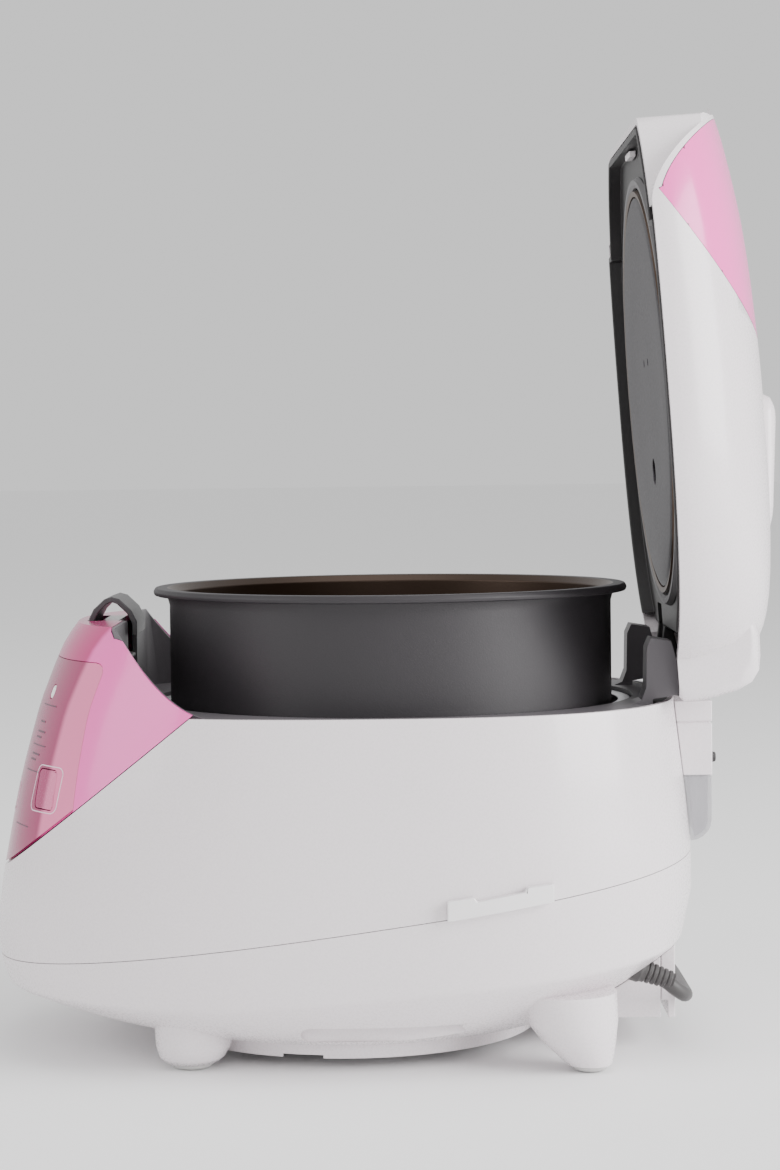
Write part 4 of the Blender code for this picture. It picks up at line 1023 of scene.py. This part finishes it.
def make_vent_cap():
    rings = []
    for grow, share in ((0, 0), (0, 0.5), (-1.6, 0.84), (-5, 1), (-10, 1.03)):
        ring = []
        for x, y in vent_outline(grow):
            height = 8 - 4 * max(y - 16, 0) / 52
            ring.append((x, y, lid_top(y) - 0.6 + (height + 0.6) * share))
        rings.append(ring)
    cap = cut(loft(rings), dome(-GAP))
    for k in (-1, 0, 1):
        slot = prism(rounded_rect(k * 9, VENT_CENTRE_Y - 4, 1.4, 10, 1.3), 214.8, 240, "z")
        cut(cap, slot)
    return [("vent_cap", cap)]


# ---- pot
def make_pot():
    top, bottom = POT_RIM_TOP + POT_LIFT, POT_RIM_TOP + POT_LIFT - POT_DEPTH
    outer_corner = arc(POT_WALL_R - 22, bottom + 22, 22, -90, 0, 14)
    inner_corner = arc(POT_WALL_R - 22, bottom + 22, 20, 0, -90, 14)
    outside = [*outer_corner, (POT_WALL_R, top - 8), (POT_WALL_R + 1.2, top - 3.5),
               (POT_RIM_R - 0.6, top - 3.5), (POT_RIM_R, top - 1.8)]
    inside = [(POT_RIM_R - 1, top), (POT_WALL_R + 1, top), (POT_WALL_R - 2, top - 3), *inner_corner]
    pot = turned(outside + inside, steps=OUTLINE_POINTS)
    for face in pot.data.polygons:
        at = face.center
        out = Vector((at.x, at.y, 0))
        inward = out.length > 1 and out.normalized().dot(face.normal) < -0.05
        face.material_index = 1 if inward or (at.z < bottom + 3 and face.normal.z > 0.5) else 0
    node("inner_pot", pot, looks=("pot_bronze",))


def make_liner():
    liner = turned_ring(
        [(106.4, 56), (88.4, 37.6), (24, 37.6), (24, 36.8), (88.8, 36.8), (107.2, 55.6),
         (107.2, 154.8), (112.4, 154.8), (112.4, 157.2), (106.4, 157.2)]
    )
    node("pot_liner", liner)


def smooth_path(points, step):
    """Even steps along a smooth curve through the points."""
    points = [Vector(p) for p in points]
    ends = [2 * points[0] - points[1], *points, 2 * points[-1] - points[-2]]
    fine = []
    for p0, p1, p2, p3 in zip(ends, ends[1:], ends[2:], ends[3:]):
        for k in range(8):
            t = k / 8
            square = (2 * p0 - 5 * p1 + 4 * p2 - p3) * t**2
            cube = (3 * p1 - p0 - 3 * p2 + p3) * t**3
            fine.append(0.5 * (2 * p1 + (p2 - p0) * t + square + cube))
    fine.append(points[-1])
    path, since = [fine[0]], 0
    for a, b in zip(fine, fine[1:]):
        since += (b - a).length
        if since >= step:
            path.append(b)
            since = 0
    if (path[-1] - fine[-1]).length > step / 3:
        path.append(fine[-1])
    else:
        path[-1] = fine[-1]
    return path


# ---- the lid, its plate and the vent cap, opened
def rim_way(at):
    """Outward direction of the open lid's dome, from its middle line."""
    middle = Vector((0, 60, 290))
    return (Vector(at) - middle).normalized()


def assemble_lid():
    pivot = Matrix.Translation((0, HINGE_Y, HINGE_Z))
    opened = pivot @ Matrix.Rotation(-LID_OPEN, 4, "X") @ pivot.inverted()
    unbevelled = ("lid_seal", "plate_gasket", "steam_tube", "lid_heater_plate")
    for name, obj in make_lid() + make_inner_plate() + make_vent_cap():
        obj.data.transform(opened)
        looks = ()
        if name == "lid_insert":
            looks = ("panel_edge",)
            for face in obj.data.polygons:
                faces_out = abs(face.normal.dot(rim_way(face.center))) > 0.8
                face.material_index = 0 if face.area > 2 and faces_out else 1
        node(name, obj, 0 if name in unbevelled else 0.5, looks)


# ---- mains cord
def coil_point(turn_deg):
    """The cord's centre round the coil: in along the table, up on its own inner turn, and out again."""

    def ramp(start, end):
        t = min(max((turn_deg - start) / (end - start), 0), 1)
        return t * t * (3 - 2 * t)

    radius = 41.6 - 7 * ramp(388, 450) + 7 * ramp(985, 1045)
    height = 3.65 + 7.05 * ramp(672, 742)
    a = radians(turn_deg)
    return (COIL_CENTRE[0] + radius * cos(a), COIL_CENTRE[1] + radius * sin(a), height)


COIL_CENTRE = (-200, 10)
LEAD = [
    (58, 112.4, 37.8), (58, 116.6, 36.3), (58, 121.4, 33.8), (57.2, 126.2, 29.8), (54, 130.4, 26.4),
    (48, 132.4, 24.8), (38, 132.8, 24.2), (26, 132.8, 24), (8, 132.8, 23.8), (-12, 132.8, 23.4),
    (-32, 132.8, 22.4), (-50, 132.6, 20.4), (-66, 132, 17), (-82, 130, 12.2), (-98, 125.6, 7.4),
    (-112, 117.6, 4.6), (-124, 107, 3.7), (-135, 94.6, 3.6), (-147, 81.4, 3.6), (-160, 69, 3.6),
    (-173, 59.6, 3.6), (-187, 53.6, 3.6),
]
TAIL = [
    (-241.5, 0, 10.4), (-241.2, -9, 9), (-240.6, -18, 6.6), (-239.6, -28, 5), (-237.2, -38, 5.4),
    (-232.6, -47.2, 7.4), (-226, -55, 10), (-218, -61.2, 12.2), (-209.4, -65.6, 13), (-207, -66.7, 13),
]
CORD_D = 0.0068
TAIL_END = (-209.4, -65.6, 13)
PLUG_TURN = radians(-24)


def make_cord():
    route = LEAD + [coil_point(a) for a in range(90, 1255, 12)] + TAIL
    path = smooth_path(route, 3)
    curve = bpy.data.curves.new("mains_cord", "CURVE")
    curve.dimensions = "3D"
    curve.bevel_depth = CORD_D / 2
    curve.bevel_resolution = 6
    curve.use_fill_caps = True
    line = curve.splines.new("POLY")
    line.points.add(len(path) - 1)
    for point, at in zip(line.points, path):
        point.co = (*(at * MM), 1)
    line.use_smooth = True
    curve.materials.append(LOOKS["cord_rubber"])
    cord = placed("mains_cord", curve)
    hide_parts("cord_lead", "cord_coil", "cord_tail")
    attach(cord, "housing")

    turn = CORD_OUT.to_track_quat("Z", "Y").to_matrix().to_4x4()
    profile = [(3.9, -12), (6, -11.6), (6, 1), (5.6, 1.5)]
    for k in range(6):
        at = 2.2 + 2.4 * k
        r = 5.2 - 0.2 * k
        profile += [(r, at), (r, at + 1.4), (r - 0.75, at + 1.7), (r - 0.75, at + 2.2)]
    profile += [(3.9, 17), (3.42, 17), (3.42, -12)]
    gland = turned_ring(profile, steps=48)
    gland.data.transform(Matrix.Translation(GLAND_AT) @ turn)
    node("cord_gland", gland, bevel=0.2)

    run = Vector((cos(PLUG_TURN), sin(PLUG_TURN), 0))
    side = Vector((-run.y, run.x, 0))
    start = Vector(TAIL_END) + run * 0.6
    along = run.to_track_quat("Z", "Y").to_matrix().to_4x4()
    neck = [(3.5, 0), (4.6, 0.2)]
    for k in range(5):
        at, r = 0.8 + 2.3 * k, 4.9 + 0.75 * k
        neck += [(r, at), (r + 0.2, at + 1.2), (r - 0.5, at + 1.5), (r - 0.5, at + 2)]
    neck += [(9.4, 13), (11.6, 14.4), (12.4, 16.4), (12.6, 19), (12.6, 33.6), (12.1, 35.4), (11.2, 36)]
    plug = turned(neck, steps=64)
    plug.data.transform(Matrix.Translation(start) @ along)
    for sign in (-1, 1):
        root = start + run * 36 + side * (9.5 * sign)
        cut(plug, rod(root - run * 12, root + run * 5, 2.6))
    plug = node("plug_body", plug, bevel=0)
    for k, sign in enumerate((-1, 1), 1):
        root = start + run * 36 + side * (9.5 * sign)
        pin = turned([(2.3, -11), (2.4, -10.5), (2.4, 15.6), (2, 17.2), (1.2, 18)], steps=32)
        pin.data.transform(Matrix.Translation(root) @ along)
        node(f"plug_pin_{k}", pin, bevel=0)


# ---- printed lines on the control film
def on_film(x, z, lift=0.1):
    at, out = skin_frame(x, z)
    return at + out * lift


def printed(name, points, width, look):
    """A thin printed line that follows the film."""
    rows = []
    for k, (x, z) in enumerate(points):
        before, after = points[max(k - 1, 0)], points[min(k + 1, len(points) - 1)]
        run = Vector((after[0] - before[0], after[1] - before[1])).normalized()
        off = Vector((-run.y, run.x)) * width / 2
        left, right = (x + off.x, z + off.y), (x - off.x, z - off.y)
        rows.append([on_film(*left), on_film(*right), on_film(*right, -0.1), on_film(*left, -0.1)])
    line = loft(rows)
    named_in_metres(name, line, (look,))
    line.data.shade_smooth()
    line.data.set_sharp_from_angle(angle=radians(40))
    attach(line, "housing")


def print_film():
    for side, hand in SIDES:
        for k, z in enumerate((161, 143, 131.5, 107)):
            line = [(side * (44 + 1.5 * i), z) for i in range(13)]
            printed(f"film_line_{hand}_{k}", line, 0.5, "ink")
        for k, z in enumerate((136.5, 139, 146.5, 149, 153.5)):
            line = [(side * (47 + 1.5 * i), z) for i in range(6 + k % 2 * 2)]
            printed(f"film_mark_{hand}_{k}", line, 0.8, "ink")
    for name, x, z, half_x, half_z in KEYS:
        corners = rounded_rect(x, z, half_x + 1.4, half_z + 1.4, 3.4, 6)
        line = []  # the corners, with a point about every millimetre between them
        for here, there in zip(corners, [*corners[1:], corners[0]]):
            parts = max(1, round(math.dist(here, there)))
            for k in range(parts):
                share = k / parts
                line.append(tuple(a + (b - a) * share for a, b in zip(here, there)))
        printed("outline_" + name, [*line, line[0], line[1]], 0.45, "pale_ink")


# ---- floor and light
def stage_and_light():
    bm = bmesh.new()
    rows = []
    for k in range(13):
        rows.append([bm.verts.new((-24.0 + 4.0 * k, y, 0.0)) for y in (-24.0, 24.0)])
    for a, b in zip(rows, rows[1:]):
        bm.faces.new((a[0], a[1], b[1], b[0]))
    mesh = bpy.data.meshes.new("floor")
    bm.to_mesh(mesh)
    bm.free()
    floor = placed("floor", mesh)
    mesh.materials.append(finish_of("floor_pale", (0.93, 0.93, 0.93), 0.8, tint=0.01, bump=0.0))
    mesh.shade_smooth()
    world = bpy.data.worlds.new("studio")
    world.use_nodes = True
    sky = world.node_tree.nodes["Background"]
    sky.inputs["Color"].default_value = (1.0, 1.0, 1.0, 1.0)
    sky.inputs["Strength"].default_value = 0.9
    bpy.context.scene.world = world
    # name, place, height aimed at, size and power
    lamps = (
        ("right", (0.9, 2.0, 0.9), 0.2, 1.6, 88.0),
        ("left", (0.9, -2.0, 0.9), 0.2, 1.4, 16.0),
        ("front", (2.6, 0.3, 1.3), 0.15, 1.0, 6.0),
        ("top", (0.2, 0.2, 2.3), 0.1, 1.6, 14.0),
    )
    for name, at, aim_z, size, power in lamps:
        data = bpy.data.lights.new(name, "AREA")
        data.size = size
        data.energy = power
        lamp = placed(name, data)
        lamp.location = at
        lamp.rotation_euler = (Vector((0.0, 0.0, aim_z)) - Vector(at)).to_track_quat("-Z", "Y").to_euler()


make_cord()
make_base()
make_body_shell()
make_side_grips()
make_front_panel()
make_release()
make_deck()
make_liner()
make_rear()
make_pot()
assemble_lid()
print_film()
stage_and_light()
